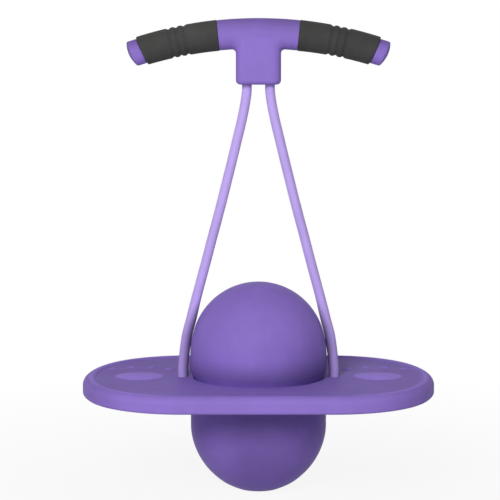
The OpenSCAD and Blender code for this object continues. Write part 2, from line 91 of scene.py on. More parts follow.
class PogoDeck(bpy.types.PropertyGroup):
    """Sizes of the deck."""

    long: length("Length", "Deck from end to end", 0.400)
    deep: length("Depth", "Deck from front to back", 0.280)
    crest: length("Crest", "Height of the rim's crest above the ground", 0.131)
    height: length("Height", "Skirt's lower edge to the rim's crest", 0.0195)
    corner_r: length("Corner radius", "Radius of the corners in plan", 0.111)
    end_r: length("End radius", "Radius of the ends in plan", 0.184)
    rim_r: length("Rim radius", "Radius of the rolled rim", 0.0095)
    drop: length("Tread drop", "Tread below the rim's crest", 0.002)
    thick: length("Tread", "Thickness of the tread", 0.0035)
    wall: length("Wall", "Thickness of the skirt, collar and bosses", 0.003)
    sweep_r: length("Rim sweep", "Radius of the hollow between rim and tread", 0.004)
    edge_r: length("Skirt edge", "Rounding of the skirt's lower edge", 0.0026)
    lip_r: length("Hole lip", "Rounding of the ball hole's upper edge", 0.002)
    hole_r: length("Ball hole", "Radius of the ball hole", 0.0733)
    boss_r: length("Cord hole", "Radius of a cord hole", 0.006)
    boss_lip_r: length("Boss lip", "Rounding of a cord hole's upper edge", 0.001)
    boss_depth: length("Boss depth", "Tread's surface to the underside of a cord boss", 0.009)
    pad_x: length("Pad place", "Foot pad from the middle", 0.136)
    pad_l: length("Pad length", "Length of a foot pad", 0.058)
    pad_d: length("Pad depth", "Depth of a foot pad", 0.056)
    pad_h: length("Pad height", "Height of a foot pad", 0.0026)
    stud_r: length("Stud radius", "Radius of a grip stud", 0.0058)
    stud_h: length("Stud height", "Height of a grip stud", 0.002)
    stud_arc: length("Stud arc", "Radius of the arc of studs round a pad", 0.056)
    stud_inner: angle("Inner studs", "Angle of the two inner studs to the deck's depth", 12)
    stud_outer: angle("Outer studs", "Angle of the two outer studs to the deck's depth", 36)
    rib_t: length("Rib", "Thickness of the ribs underneath", 0.0024)
    rib_pitch: length("Rib pitch", "Distance between ribs", 0.045)
    rib_lift: length("Rib lift", "Skirt's lower edge up to the ribs", 0.005)


class PogoBall(bpy.types.PropertyGroup):
    """Sizes of the air ball."""

    radius: length("Radius", "Radius of the two domes", 0.0765)
    waist: length("Waist", "Radius of the waist in the deck", 0.073)
    foot: length("Foot", "Radius of the flat foot", 0.020)
    rise: length("Rise", "Upper dome's middle above the rim's crest", 0.030)
    tuck: length("Tuck", "Height in which the lower dome tucks in to the waist", 0.007)
    fold: length("Fold", "Height in which the upper dome folds in to the waist", 0.012)
    seat: length("Seat", "Gap between the tread and the upper dome's fold", 0.0003)
    bulge: length("Bulge", "How far the lower dome swells under the deck", 0.0008)
    press: length("Press", "How far the upper dome swells above the deck", 0.0016)
    sag: length("Sag", "How far the lower dome sinks round its foot", 0.0005)
    wall: length("Wall", "Thickness of the skin", 0.003)
    valve_r: length("Valve hole", "Radius of the hole for the valve's neck", 0.0063)
    valve_angle: angle("Valve", "Valve from the top towards the back", 50)
    segments: whole("Segments", "Faces round the ball", 128)


class PogoCord(bpy.types.PropertyGroup):
    """Sizes of the elastic cord."""

    thick: length("Thickness", "Thickness of the cord", 0.011)
    swell: number("Swell", "How much thicker the cord is at its foot", 0.08)
    swell_z: length("Swell height", "Height up to which the foot keeps its full swell", 0.190)
    slim_z: length("Slim height", "Height at which the swell has run out", 0.230)
    hole_x: length("Cord hole", "Cord hole from the middle of the deck", 0.086)
    strand_x: length("Strand", "Strand from the middle at the stem", 0.013)
    stop_z: length("Lower end", "Height of the cord's lower ends", 0.112)
    mouth_z: length("Stem's mouth", "Height of the stem's mouth", 0.4615)
    post_z: length("Post", "Height of the post that the loop lies over", 0.4865)
    carriers: whole("Carriers", "Yarn bundles round the braid", 14)
    lay: number("Lay", "Crossings of the braid in a metre", 210)
    segments: whole("Segments", "Faces round the cord", 24)


class PogoHandle(bpy.types.PropertyGroup):
    """Sizes of the handle, its grips and its end caps."""

    bar_z: length("Bar", "Height of the bar's axis at its crown", 0.5185)
    arch_r: length("Arch", "Radius of the bar's arch", 0.445)
    hub_half: length("Hub", "Half length of the bare middle along the arch", 0.0450)
    bar_r: length("Bar radius", "Radius of the bar's bare middle", 0.017)
    wall: length("Wall", "Thickness of the bar and the stem", 0.0028)
    stem_w: length("Stem width", "Width of the stem", 0.0506)
    stem_d: length("Stem depth", "Depth of the stem", 0.033)
    stem_corner: length("Stem corner", "Rounding of the stem's upright corners", 0.0095)
    stem_edge: length("Stem edge", "Rounding of the stem's lower edge", 0.005)
    crotch: length("Crotch", "Reach of the inside curve between bar and stem", 0.0055)
    floor: length("Stem's floor", "Thickness of the stem's floor", 0.004)
    screw_s: length("Screw", "Outer screws from the middle, along the arch", 0.034)
    screw_r: length("Screw hole", "Radius of a screw's hole", 0.0021)
    screw_head_r: length("Screw head", "Radius of the hole for a screw's head", 0.0040)
    screw_seat: length("Screw seat", "Screw's seat behind the parting face", 0.012)
    core_r: length("Arm", "Radius of the arms under the grips", 0.0135)
    grip_l: length("Grip", "Length of a grip along the arch", 0.0874)
    grip_r: length("Grip radius", "Grip's radius at its inner end", 0.0174)
    grip_tip_r: length("Grip tip", "Grip's radius at its outer end", 0.0168)
    grip_fit: length("Grip fit", "Clearance between grip and arm", 0.0004)
    groove_s: length("Groove place", "Middle groove from the bar's middle", 0.090)
    groove_pitch: length("Groove pitch", "Distance between grooves", 0.0084)
    groove_w: length("Groove width", "Width of a groove", 0.0064)
    groove_depth: length("Groove depth", "Depth of a groove", 0.0015)
    cap_r: length("Cap", "Radius of an end cap", 0.0146)
    cap_l: length("Cap length", "Length of an end cap's side", 0.0113)
    cap_dome: length("Cap dome", "Height of an end cap's dome", 0.0035)
    cap_edge: length("Cap edge", "Rounding of an end cap's edge", 0.0026)
    cap_lean: angle("Cap lean", "Slant of the grips' outer ends and the end caps", 7.5)
    spigot_r: length("Spigot", "Radius of an end cap's spigot", 0.0104)
    spigot_l: length("Spigot length", "Length of an end cap's spigot", 0.014)
    spigot_fit: length("Spigot fit", "Clearance between an end cap's spigot and the arm", 0.0003)
    segments: whole("Segments", "Faces round a grip and an end cap", 72)


class PogoColours(bpy.types.PropertyGroup):
    """Colours of the finishes."""

    shell: colour("Shell", "Moulded deck and handle", (0.280, 0.182, 0.605))
    ball: colour("Ball", "Soft skin of the ball", (0.262, 0.168, 0.575))
    cord: colour("Cord", "Braided sheath of the cord", (0.605, 0.450, 0.985))
    plug: colour("Plug", "Valve plug", (0.420, 0.290, 0.780))
    rubber: colour("Rubber", "Grips", (0.047, 0.046, 0.045))
    stop: colour("Stop", "Cord stops", (0.040, 0.040, 0.042))
    steel: colour("Steel", "Screws", (0.560, 0.565, 0.580))


class PogoStage(bpy.types.PropertyGroup):
    """Camera and light."""

    distance: length("Distance", "Camera from the board", 2.4)
    target_z: length("Target", "Height that the camera looks at", 0.271)
    elevation: angle("Elevation", "Camera above the horizon", 6.83)
    lens: number("Lens", "Focal length", 152.42, unit="CAMERA")
    shift_x: number("Shift X", "Frame's shift to the side", -0.0169)
    shift_y: number("Shift Y", "Frame's shift upwards", 0.0055)
    key: number("Key", "Power of the front light", 55.0, unit="POWER")
    fill: number("Fill", "Power of the right light", 3.8, unit="POWER")
    sky: number("Sky", "Strength of the light from the horizon", 0.36)
    zenith: number("Zenith", "Strength of the light from overhead", 0.12)


# Shader node groups and materials


class Wires:
    """Adds linked nodes to a node tree."""

    def __init__(self, tree):
        self.tree = tree

    def add(self, kind, links=None, **settings):
        """A node with its settings, and its inputs linked or set."""
        node = self.tree.nodes.new(kind)
        for key, value in settings.items():
            setattr(node, key, value)
        for key, value in (links or {}).items():
            socket = node.inputs[key]
            if isinstance(value, bpy.types.NodeSocket):
                self.link(value, socket)
            else:
                socket.default_value = value
        return node

    def math(self, operation, a, b=0.0, c=0.0):
        """The result of a Math node."""
        return self.add("ShaderNodeMath", {0: a, 1: b, 2: c}, operation=operation).outputs[0]

    def noise(self, at, scale, detail=2.0, rough=0.5):
        """The value of a Noise Texture."""
        links = {"Vector": at, "Scale": scale, "Detail": detail, "Roughness": rough}
        return self.add("ShaderNodeTexNoise", links).outputs["Fac"]

    def spread(self, value, low, high, to_low, to_high):
        """A value mapped from one range to another."""
        links = {"Value": value, "From Min": low, "From Max": high, "To Min": to_low, "To Max": to_high}
        return self.add("ShaderNodeMapRange", links).outputs["Result"]

    def link(self, value, socket):
        """Links a value to a socket of another node."""
        self.tree.links.new(value, socket)

    def bump(self, shader, height, strength, relief):
        """Gives a shader the normals of a height."""
        links = {"Height": height, "Strength": strength, "Distance": relief}
        self.link(self.add("ShaderNodeBump", links).outputs["Normal"], shader.inputs["Normal"])


def new_group(name, inputs, outputs):
    """An empty shader node group with named sockets: (Wires, inputs' node, outputs' node)."""
    tree = bpy.data.node_groups.new(name, "ShaderNodeTree")
    for socket, kind, value in inputs:
        made = tree.interface.new_socket(socket, in_out="INPUT", socket_type=f"NodeSocket{kind}")
        made.default_value = value
    for socket, kind in outputs:
        tree.interface.new_socket(socket, in_out="OUTPUT", socket_type=f"NodeSocket{kind}")
    wires = Wires(tree)
    return wires, wires.add("NodeGroupInput").outputs, wires.add("NodeGroupOutput").inputs


def moulded_tone_group():
    """Colour that drifts slowly over a moulding, with faint flow marks and specks."""
    inputs = [("Colour", "Color", (0.5, 0.5, 0.5, 1)), ("Drift", "Float", 0.1), ("Specks", "Float", 0.05)]
    w, given, out = new_group("Moulded tone", inputs, [("Colour", "Color")])
    at = w.add("ShaderNodeTexCoord").outputs["Object"]
    slow = w.spread(w.noise(at, 14.0, 3.0), 0.3, 0.7, -1.0, 1.0)
    flow = w.spread(w.noise(at, 55.0, 2.0, 0.6), 0.3, 0.7, -0.4, 0.4)
    fine = w.spread(w.noise(at, 900.0, 1.0), 0.62, 0.78, 0.0, 1.0)
    drift = w.math("MULTIPLY", w.math("ADD", slow, flow), given["Drift"])
    speck = w.math("MULTIPLY", fine, given["Specks"])
    value = w.math("ADD", w.math("SUBTRACT", drift, speck), 1.0)
    tone = w.add("ShaderNodeHueSaturation", {"Color": given["Colour"], "Value": value})
    w.link(tone.outputs["Color"], out["Colour"])
    return w.tree


def fine_grain_group():
    """Height of a spark-eroded mould's grain, with a slow ripple under it."""
    inputs = [("Grain", "Float", 1200.0), ("Ripple", "Float", 30.0), ("Ripple share", "Float", 0.2)]
    w, given, out = new_group("Fine grain", inputs, [("Height", "Float"), ("Roughness", "Float")])
    at = w.add("ShaderNodeTexCoord").outputs["Object"]
    grain = w.noise(at, given["Grain"], 3.0, 0.6)
    ripple = w.noise(at, given["Ripple"], 1.0)
    keep = w.math("SUBTRACT", 1.0, given["Ripple share"])
    height = w.math("ADD", w.math("MULTIPLY", grain, keep), w.math("MULTIPLY", ripple, given["Ripple share"]))
    w.link(height, out["Height"])
    w.link(w.spread(grain, 0.3, 0.7, 0.0, 1.0), out["Roughness"])
    return w.tree


def handling_wear_group():
    """Mask of scuffed places and hair-fine scratches."""
    inputs = [("Patches", "Float", 22.0), ("Scratches", "Float", 70.0)]
    w, given, out = new_group("Handling wear", inputs, [("Mask", "Float")])
    at = w.add("ShaderNodeTexCoord").outputs["Object"]
    patch = w.spread(w.noise(at, given["Patches"], 4.0, 0.65), 0.52, 0.72, 0.0, 1.0)
    masks = []
    for turn in (0.5, 2.1):
        links = {"Vector": at, "Rotation": (0.4, turn, turn), "Scale": (1, 40, 40)}
        hair = w.noise(w.add("ShaderNodeMapping", links).outputs["Vector"], given["Scratches"], 1.0)
        masks.append(w.spread(hair, 0.70, 0.76, 0.0, 0.5))
    hairs = w.math("MAXIMUM", masks[0], masks[1])
    links = {0: w.math("MULTIPLY", patch, 0.6), 1: hairs}
    mask = w.add("ShaderNodeMath", links, operation="ADD", use_clamp=True)
    w.link(mask.outputs[0], out["Mask"])
    return w.tree


def braid_group():
    """Over-and-under height of a braided sheath, along the cord's own map."""
    inputs = [("Carriers", "Float", 14.0), ("Lay", "Float", 200.0)]
    w, given, out = new_group("Braid", inputs, [("Height", "Float"), ("Yarn", "Float")])
    place = w.add("ShaderNodeUVMap", uv_map="Along").outputs["UV"]
    axes = w.add("ShaderNodeSeparateXYZ", {"Vector": place}).outputs
    round_it = w.math("MULTIPLY", axes["X"], given["Carriers"])
    along = w.math("MULTIPLY", axes["Y"], given["Lay"])
    right, left = w.math("ADD", round_it, along), w.math("SUBTRACT", round_it, along)
    crowns = []
    for run in (right, left):
        off = w.math("ABSOLUTE", w.math("SUBTRACT", w.math("FRACT", run), 0.5))
        crowns.append(w.math("SUBTRACT", 1.0, w.math("MULTIPLY", w.math("MULTIPLY", off, off), 3.2)))
    cells = w.math("ADD", w.math("FLOOR", right), w.math("FLOOR", left))
    over = w.math("PINGPONG", cells, 1.0)
    under = w.math("SUBTRACT", 1.0, over)
    height = w.math("ADD", w.math("MULTIPLY", crowns[0], over), w.math("MULTIPLY", crowns[1], under))
    lines = w.add("ShaderNodeCombineXYZ", {"X": right, "Y": w.math("MULTIPLY", left, 9.0)})
    yarn = w.noise(lines.outputs[0], 2.0)
    w.link(height, out["Height"])
    w.link(yarn, out["Yarn"])
    return w.tree


def shared_group(name):
    """A shared node group, built the first time it is asked for."""
    makers = {
        "Moulded tone": moulded_tone_group,
        "Fine grain": fine_grain_group,
        "Handling wear": handling_wear_group,
        "Braid": braid_group,
    }
    return bpy.data.node_groups.get(name) or makers[name]()


def empty_tree(owner):
    """The emptied node tree of a material or a world, as Wires."""
    owner.use_nodes = True
    owner.node_tree.nodes.clear()
    return Wires(owner.node_tree)


def new_material(name):
    """A material with a bare shader: (material, Wires, Principled BSDF)."""
    material = bpy.data.materials.new(name)
    wires = empty_tree(material)
    shader = wires.add("ShaderNodeBsdfPrincipled")
    wires.add("ShaderNodeOutputMaterial", {"Surface": shader.outputs["BSDF"]})
    return material, wires, shader


def group_node(wires, name, **values):
    """A shared group placed in a material with its own values."""
    node = wires.add("ShaderNodeGroup", node_tree=shared_group(name))
    for key, value in values.items():
        node.inputs[key.replace("_", " ")].default_value = value
    return node


def moulded(name, tint, finish, toned=False):
    """A finish of plastic, skin or rubber, from a colour, a set of values and, when toned, the painted light
    and shade stored at its points.
    """
    if name in bpy.data.materials:
        return bpy.data.materials[name]
    material, w, shader = new_material(name)
    tone = group_node(w, "Moulded tone", Colour=(*tint, 1), Drift=finish["drift"], Specks=finish["specks"])
    ripple, share = finish["ripple"], finish["swell"]
    grain = group_node(w, "Fine grain", Grain=finish["grain"], Ripple=ripple, Ripple_share=share)
    wear = group_node(w, "Handling wear", Patches=finish["patches"], Scratches=finish["scratches"])
    wear_and_highlight = w.add("ShaderNodeHueSaturation", {"Color": tone.outputs["Colour"], "Value": finish["worn_value"]})
    mask = w.math("MULTIPLY", wear.outputs["Mask"], finish["wear_and_highlight"])
    colours = {0: mask, 6: tone.outputs["Colour"], 7: wear_and_highlight.outputs["Color"]}
    tint = w.add("ShaderNodeMix", colours, data_type="RGBA").outputs[2]
    # The Tone at the points is painted light and shade
    if toned:
        links = {"Color": tint, "Value": w.add("ShaderNodeAttribute", attribute_name="Tone").outputs["Fac"]}
        tint = w.add("ShaderNodeHueSaturation", links).outputs["Color"]
    w.link(tint, shader.inputs["Base Color"])
    low, high = finish["rough"]
    rough = w.spread(grain.outputs["Roughness"], 0.0, 1.0, low, high)
    wear_and_shade = w.math("MULTIPLY_ADD", wear.outputs["Mask"], finish["wear_and_shade"], rough)
    w.link(wear_and_shade, shader.inputs["Roughness"])
    w.bump(shader, grain.outputs["Height"], finish["bump"], finish["relief"])
    shader.inputs["Specular IOR Level"].default_value = finish["gloss"]
    return material


SATIN = {
    "drift": 0.05, "specks": 0.05, "grain": 1500.0, "ripple": 26.0, "swell": 0.25, "patches": 18.0,
    "scratches": 60.0, "worn_value": 1.12, "wear_and_highlight": 0.35, "rough": (0.52, 0.66), "wear_and_shade": -0.05,
    "bump": 0.22, "relief": 0.0004, "gloss": 0.06,
}
SOFT_SKIN = {
    "drift": 0.06, "specks": 0.04, "grain": 700.0, "ripple": 16.0, "swell": 0.4, "patches": 14.0,
    "scratches": 45.0, "worn_value": 1.1, "wear_and_highlight": 0.4, "rough": (0.44, 0.56), "wear_and_shade": 0.08,
    "bump": 0.2, "relief": 0.0005, "gloss": 0.07,
}
MATT_RUBBER = {
    "drift": 0.16, "specks": 0.35, "grain": 2100.0, "ripple": 120.0, "swell": 0.35, "patches": 40.0,
    "scratches": 90.0, "worn_value": 1.35, "wear_and_highlight": 0.5, "rough": (0.74, 0.92), "wear_and_shade": -0.06,
    "bump": 0.5, "relief": 0.0006, "gloss": 0.3,
}


def shell_material():
    """Satin moulded plastic of the handle and caps, with the painted shade stored at their points."""
    return moulded("satin_moulded_plastic", bpy.context.scene.pogo_colours.shell, SATIN, toned=True)


def cord_material():
    """Braided sheath over elastic strands."""
    scene = bpy.context.scene
    material, w, shader = new_material("braided_elastic_sheath")
    braid = group_node(w, "Braid", Carriers=scene.pogo_cord.carriers, Lay=scene.pogo_cord.lay)
    tone = group_node(w, "Moulded tone", Colour=(*scene.pogo_colours.cord, 1), Drift=0.05, Specks=0.08)
    shade = w.spread(braid.outputs["Height"], 0.2, 1.0, 0.68, 1.06)
    yarn = w.spread(braid.outputs["Yarn"], 0.3, 0.7, 0.93, 1.05)
    # Painted shade of the cord, stored at its points as its tone
    wear_and_shade = w.add("ShaderNodeAttribute", attribute_name="Tone").outputs["Fac"]
    value = w.math("MULTIPLY", w.math("MULTIPLY", shade, yarn), wear_and_shade)
    colour_node = w.add("ShaderNodeHueSaturation", {"Color": tone.outputs["Colour"], "Value": value})
    w.link(colour_node.outputs["Color"], shader.inputs["Base Color"])
    w.link(w.spread(braid.outputs["Yarn"], 0.0, 1.0, 0.62, 0.8), shader.inputs["Roughness"])
    w.bump(shader, braid.outputs["Height"], 0.45, 0.6 * MM)
    shader.inputs["Specular IOR Level"].default_value = 0.10
    shader.inputs["Sheen Weight"].default_value = 0.05
    shader.inputs["Sheen Roughness"].default_value = 0.4
    return material


def steel_material():
    """Zinc-plated screw steel with turned rings."""
    material, w, shader = new_material("zinc_plated_steel")
    tint = bpy.context.scene.pogo_colours.steel
    tone = group_node(w, "Moulded tone", Colour=(*tint, 1), Drift=0.12, Specks=0.2)
    grain = group_node(w, "Fine grain", Grain=3200.0, Ripple=300.0, Ripple_share=0.3)
    w.link(tone.outputs["Colour"], shader.inputs["Base Color"])
    w.link(w.spread(grain.outputs["Roughness"], 0.0, 1.0, 0.28, 0.44), shader.inputs["Roughness"])
    w.bump(shader, grain.outputs["Height"], 0.2, 0.2 * MM)
    shader.inputs["Metallic"].default_value = 1.0
    return material


# Meshes


def fill_flat(flat, edges):
    """Triangles, as numbers of flat points, that fill closed loops of edges and leave their holes open."""
    made, _, faces, origin, _, _ = delaunay_2d_cdt([Vector(p) for p in flat], edges, [], 0, 1e-9)
    place = np.array([tuple(p) for p in made])
    middle = place[np.array([face[:3] for face in faces])].mean(axis=1)
    inside = np.zeros(len(faces), bool)
    for a, b in edges:
        (x0, y0), (x1, y1) = flat[a], flat[b]
        if y0 != y1:
            spans = (y0 > middle[:, 1]) != (y1 > middle[:, 1])
            inside ^= spans & (middle[:, 0] < x0 + (x1 - x0) * (middle[:, 1] - y0) / (y1 - y0))
    return [[origin[n][0] for n in face] for face, keep in zip(faces, inside) if keep]


class Sheet:
    """Points and faces of a mesh under construction, in metres."""

    def __init__(self):
        self.points = []
        self.faces = []

    def ring(self, points):
        """Adds a ring of points, and returns their numbers."""
        first = len(self.points)
        self.points.extend(tuple(p) for p in points)
        return list(range(first, len(self.points)))

    def walls(self, rings):
        """Quads between rings of equal size that follow each other."""
        for low, high in zip(rings, rings[1:]):
            for k in range(len(low)):
                n = (k + 1) % len(low)
                self.faces.append((low[k], low[n], high[n], high[k]))

    def fill(self, loops, inner, height, up):
        """Triangles between an outer loop and the loops inside it, with more points at a given height."""
        numbers = [n for loop in loops for n in loop]
        flat = [self.points[n][:2] for n in numbers] + list(inner)
        edges, first = [], 0
        for loop in loops:
            count = len(loop)
            edges += [(first + k, first + (k + 1) % count) for k in range(count)]
            first += count
        for x, y in inner:
            numbers.append(len(self.points))
            self.points.append((x, y, height(x, y)))
        for face in fill_flat(flat, edges):
            corners = [numbers[place] for place in face]
            self.faces.append(tuple(corners if up else reversed(corners)))

    def piece(self, name, material, crease=math.radians(50)):
        """A mesh object of these faces, smooth except at creases."""
        mesh = bpy.data.meshes.new(name)
        mesh.from_pydata(self.points, [], self.faces)
        mesh.polygons.foreach_set("use_smooth", [True] * len(mesh.polygons))
        work = bmesh.new()
        work.from_mesh(mesh)
        bmesh.ops.recalc_face_normals(work, faces=work.faces)
        for edge in work.edges:
            if len(edge.link_faces) == 2 and edge.calc_face_angle(0) > crease:
                edge.smooth = False
        work.to_mesh(mesh)
        work.free()
        mesh.materials.append(material)
        piece = bpy.data.objects.new(name, mesh)
        bpy.context.scene.collection.objects.link(piece)
        return piece


def arc(middle, radius, start, stop, steps):
    """Points (a, b) on an arc, its angles in degrees."""
    angles = np.radians(np.linspace(start, stop, steps + 1))
    return [(middle[0] + radius * math.cos(t), middle[1] + radius * math.sin(t)) for t in angles]


def turns(count):
    """Cosine and sine of angles that share out a full turn."""
    return [(math.cos(t), math.sin(t)) for t in np.linspace(0, 2 * math.pi, count, endpoint=False)]


def circle(x, radius, z, count):
    """Ring of points at one height, round a place on the X axis."""
    return [(x + radius * c, radius * s, z) for c, s in turns(count)]


def revolve(profile, place, count):
    """A closed solid of revolution from (radius, height) points that start and end on the axis."""
    sheet = Sheet()
    rings = []
    for radius, z in profile[1:-1]:
        rings.append(sheet.ring(place @ Vector(p) for p in circle(0, radius, z, count)))
    sheet.walls(rings)
    for end, ring in ((profile[0], rings[0]), (profile[-1], rings[-1])):
        tip = sheet.ring([place @ Vector((0, 0, end[1]))])[0]
        sheet.faces += [(tip, ring[k], ring[(k + 1) % count]) for k in range(count)]
    return sheet


def set_tone(piece, tone_at):
    """Stores the painted light and shade of each point of a piece, from its place."""
    layer = piece.data.attributes.new("Tone", "FLOAT", "POINT")
    layer.data.foreach_set("value", [tone_at(*point.co) for point in piece.data.vertices])


def ease(value, low, high):
    """0 below a range, 1 above it, and a smooth rise between."""
    t = min(max((value - low) / (high - low), 0.0), 1.0)
    return t * t * (3 - 2 * t)


def hand_over(piece, node, body=None):
    """Hides a node of the packed model in favour of a piece, and, when a body is given, ties the piece to
    that body.
    """
    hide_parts(node)
    if body:
        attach(piece, body)


def dress(node, material):
    """Gives a node of the packed model a finish."""
    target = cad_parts[node]
    if not target.material_slots:
        target.data.materials.append(material)
    for place in target.material_slots:
        place.material = material


# Cord


def cord_points(cord):
    """Right half of the cord, from its lower end to the top of its loop, as (x, z) points."""
    hole, strand = cord.hole_x / MM, cord.strand_x / MM
    stop, mouth, post = cord.stop_z / MM, cord.mouth_z / MM, cord.post_z / MM
    points = [
        (hole, stop), (hole, stop + 8), (hole, 129), (86, 138), (85.1, 148), (83.5, 162), (81.2, 177),
        (76.9, 193.3), (71.4, 216), (65.2, 239.3), (59.1, 262), (53.1, 285), (47, 307.7), (41, 330.5),
        (35.4, 353), (29.7, 375.8), (24.2, 398.5), (18.9, 420.5), (14.8, 441), (strand, mouth - 6),
        (strand, mouth), (strand, mouth + 12), (strand, post),
    ]
    return [(x * MM, z * MM) for x, z in points]


def smooth_route(points, step):
    """A smooth curve through points, as points about a step apart."""
    pts = np.array(points)
    gaps = np.linalg.norm(np.diff(pts, axis=0), axis=1)
    at = np.concatenate([[0], np.cumsum(gaps)])
    slopes = np.gradient(pts, at, axis=0)
    route = [pts[0]]
    for i, gap in enumerate(gaps):
        count = max(1, int(round(gap / step)))
        for k in range(1, count + 1):
            t = k / count
            low = (1 + 2 * t) * (1 - t) ** 2 * pts[i] + t * (1 - t) ** 2 * gap * slopes[i]
            high = t * t * (3 - 2 * t) * pts[i + 1] + t * t * (t - 1) * gap * slopes[i + 1]
            route.append(low + high)
    return np.array(route)


def tube(name, path, start, cord, material):
    """A cord's tube along a path in the XZ plane, with a map along it that starts at a length."""
    sheet = Sheet()
    count, radius = cord.segments, cord.thick / 2
    across = np.array((0.0, 1.0, 0.0))
    line = np.array([(x, 0.0, z) for x, z in path])
    ways = np.gradient(line, axis=0)
    ways /= np.linalg.norm(ways, axis=1)[:, None]
    rings = []
    for point, way in zip(line, ways):
        side = np.cross(across, way)
        girth = radius * (1 + cord.swell * (1 - ease(point[2], cord.swell_z, cord.slim_z)))
        rings.append(sheet.ring(point + girth * (c * side + s * across) for c, s in turns(count)))
    sheet.walls(rings)
    sheet.faces += [tuple(reversed(rings[0])), tuple(rings[-1])]
    piece = sheet.piece(name, material)
    # The cord's painted shade, stored at its points
    set_tone(piece, cord_contact_shade)
    run = start + np.concatenate([[0], np.cumsum(np.linalg.norm(np.diff(line, axis=0), axis=1))])
    layer = piece.data.uv_layers.new(name="Along")
    for face in piece.data.polygons:
        turned = [piece.data.loops[n].vertex_index % count for n in face.loop_indices]
        wraps = max(turned) - min(turned) > count / 2
        for n, k in zip(face.loop_indices, turned):
            ring = piece.data.loops[n].vertex_index // count
            layer.data[n].uv = ((k + count if wraps and k < count / 2 else k) / count, run[ring])
    return piece, float(run[-1] - run[0]), float(run[-1])


def cord_contact_shade(x, y, z):
    """The cord's painted shade: darker where it lies against the ball and near the deck."""
    ball, deck = bpy.context.scene.pogo_ball, bpy.context.scene.pogo_deck
    over = max(z - deck.crest - ball.rise, 0.0)
    clear = math.sqrt(x * x + y * y + over * over) - ball.radius
    # Painted shade: darker where the cord lies against the ball, and darker low down near the deck
    wear_and_shade, low = 0.25, 0.8
    tone = wear_and_shade + (1 - wear_and_shade) * ease(clear, 0.0, 13 * MM)
    return tone * (low + (1 - low) * ease(z - deck.crest, 4 * MM, 64 * MM))


class POGO_OT_cords(bpy.types.Operator):
    """Braids the elastic cord from one deck hole over the handle's post to the other"""

    bl_idname = "pogo.cords"
    bl_label = "Cords"

    def execute(self, context):
        cord, sheath, step = context.scene.pogo_cord, cord_material(), 2.5 * MM
        route = smooth_route(cord_points(cord), step)
        # Name, node, bodies, heights of its span from one body to the next, height of its end
        stretches = [
            ("foot", "cord_end", ("deck", "cords"), (0.129, 0.166), 0.181),
            ("strand", "cord", ("cords", "cord_necks"), (0.182, 0.3985), 0.3985),
            ("neck", "cord_neck", ("cord_necks", "handle"), (0.405, 0.4600), cord.mouth_z + 6 * MM),
        ]
        cuts = [0] + [int(np.argmin(np.abs(route[:, 1] - stretch[-1]))) for stretch in stretches]
        for sign, side in SIDES:
            run = 0.0
            for (part, node, bodies, span, _), low, high in zip(stretches, cuts, cuts[1:]):
                path = route[low : high + 1] * (sign, 1)
                piece, reach, run = tube(f"{side}_braid_{part}", path, run, cord, sheath)
                hand_over(piece, f"{side}_{node}")
                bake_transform(piece)
        rise = route[cuts[-1] :]
        turn = arc((0, cord.post_z), cord.strand_x, 0, 180, 24)
        path = np.concatenate([rise, np.array(turn[1:-1]), rise[::-1] * (-1, 1)])
        piece, reach, _ = tube("braid_over_post", path, run, cord, sheath)
        hand_over(piece, "cord_loop", "handle")
        return {"FINISHED"}


class POGO_OT_cord_stops(bpy.types.Operator):
    """Finishes the stops under the deck"""

    bl_idname = "pogo.cord_stops"
    bl_label = "Cord stops"

    def execute(self, context):
        black = moulded("black_stop_plastic", context.scene.pogo_colours.stop, SATIN)
        for _, side in SIDES:
            dress(f"{side}_cord_stop", black)
        return {"FINISHED"}


# Ball


def tuck_in(ball, inset, bulge, tuck, share):
    """Radius on the arc from a dome's side, at share 0, in to the waist, at share 1."""
    swell = ball.radius + bulge - ball.waist
    bow = (tuck**2 + swell**2) / (2 * swell)
    return ball.radius + bulge - inset - bow + math.sqrt(bow**2 - (tuck * share) ** 2)


def ball_light_and_shade(x, y, z):
    """The ball's painted light and shade: painted shade by the deck and on its right side, painted lighter
    bands right at the deck, and on its lower dome painted shade from the deck and the ground, lighter to the
    left and darker in the middle.
    """
    deck = bpy.context.scene.pogo_deck
    above = z - deck.crest
    inner, outer = 10 * MM, 60 * MM  # where a side's painted light and shade start, and where they are full
    if above < -deck.height / 2:
        # Lower dome: painted shade from the deck and the ground, painted light on its left side and painted
        # shade across its middle
        ground, lit, shade = 0.82, 0.15, 0.13
        belly = ease(z, 10 * MM, 50 * MM) * (1 - ease(z, 85 * MM, 115 * MM)) * (1 - ease(abs(x), 0, 45 * MM))
        return ground + lit * ease(-x, inner, outer) - shade * belly
    # Upper dome: painted shade towards the deck, painted lighter bands right at the deck, and painted shade
    # on its right side
    deck_contact_shade, shade = 0.40, 0.21
    tone = deck_contact_shade + (1 - deck_contact_shade) * ease(above, -4 * MM, 33 * MM)
    for share, reach in ((0.25, 12 * MM), (0.30, 5 * MM)):
        tone += share * (1 - ease(above, -2 * MM, reach))
    return tone * (1 - shade * ease(x, inner, outer) * (1 - ease(above, 15 * MM, 70 * MM)))


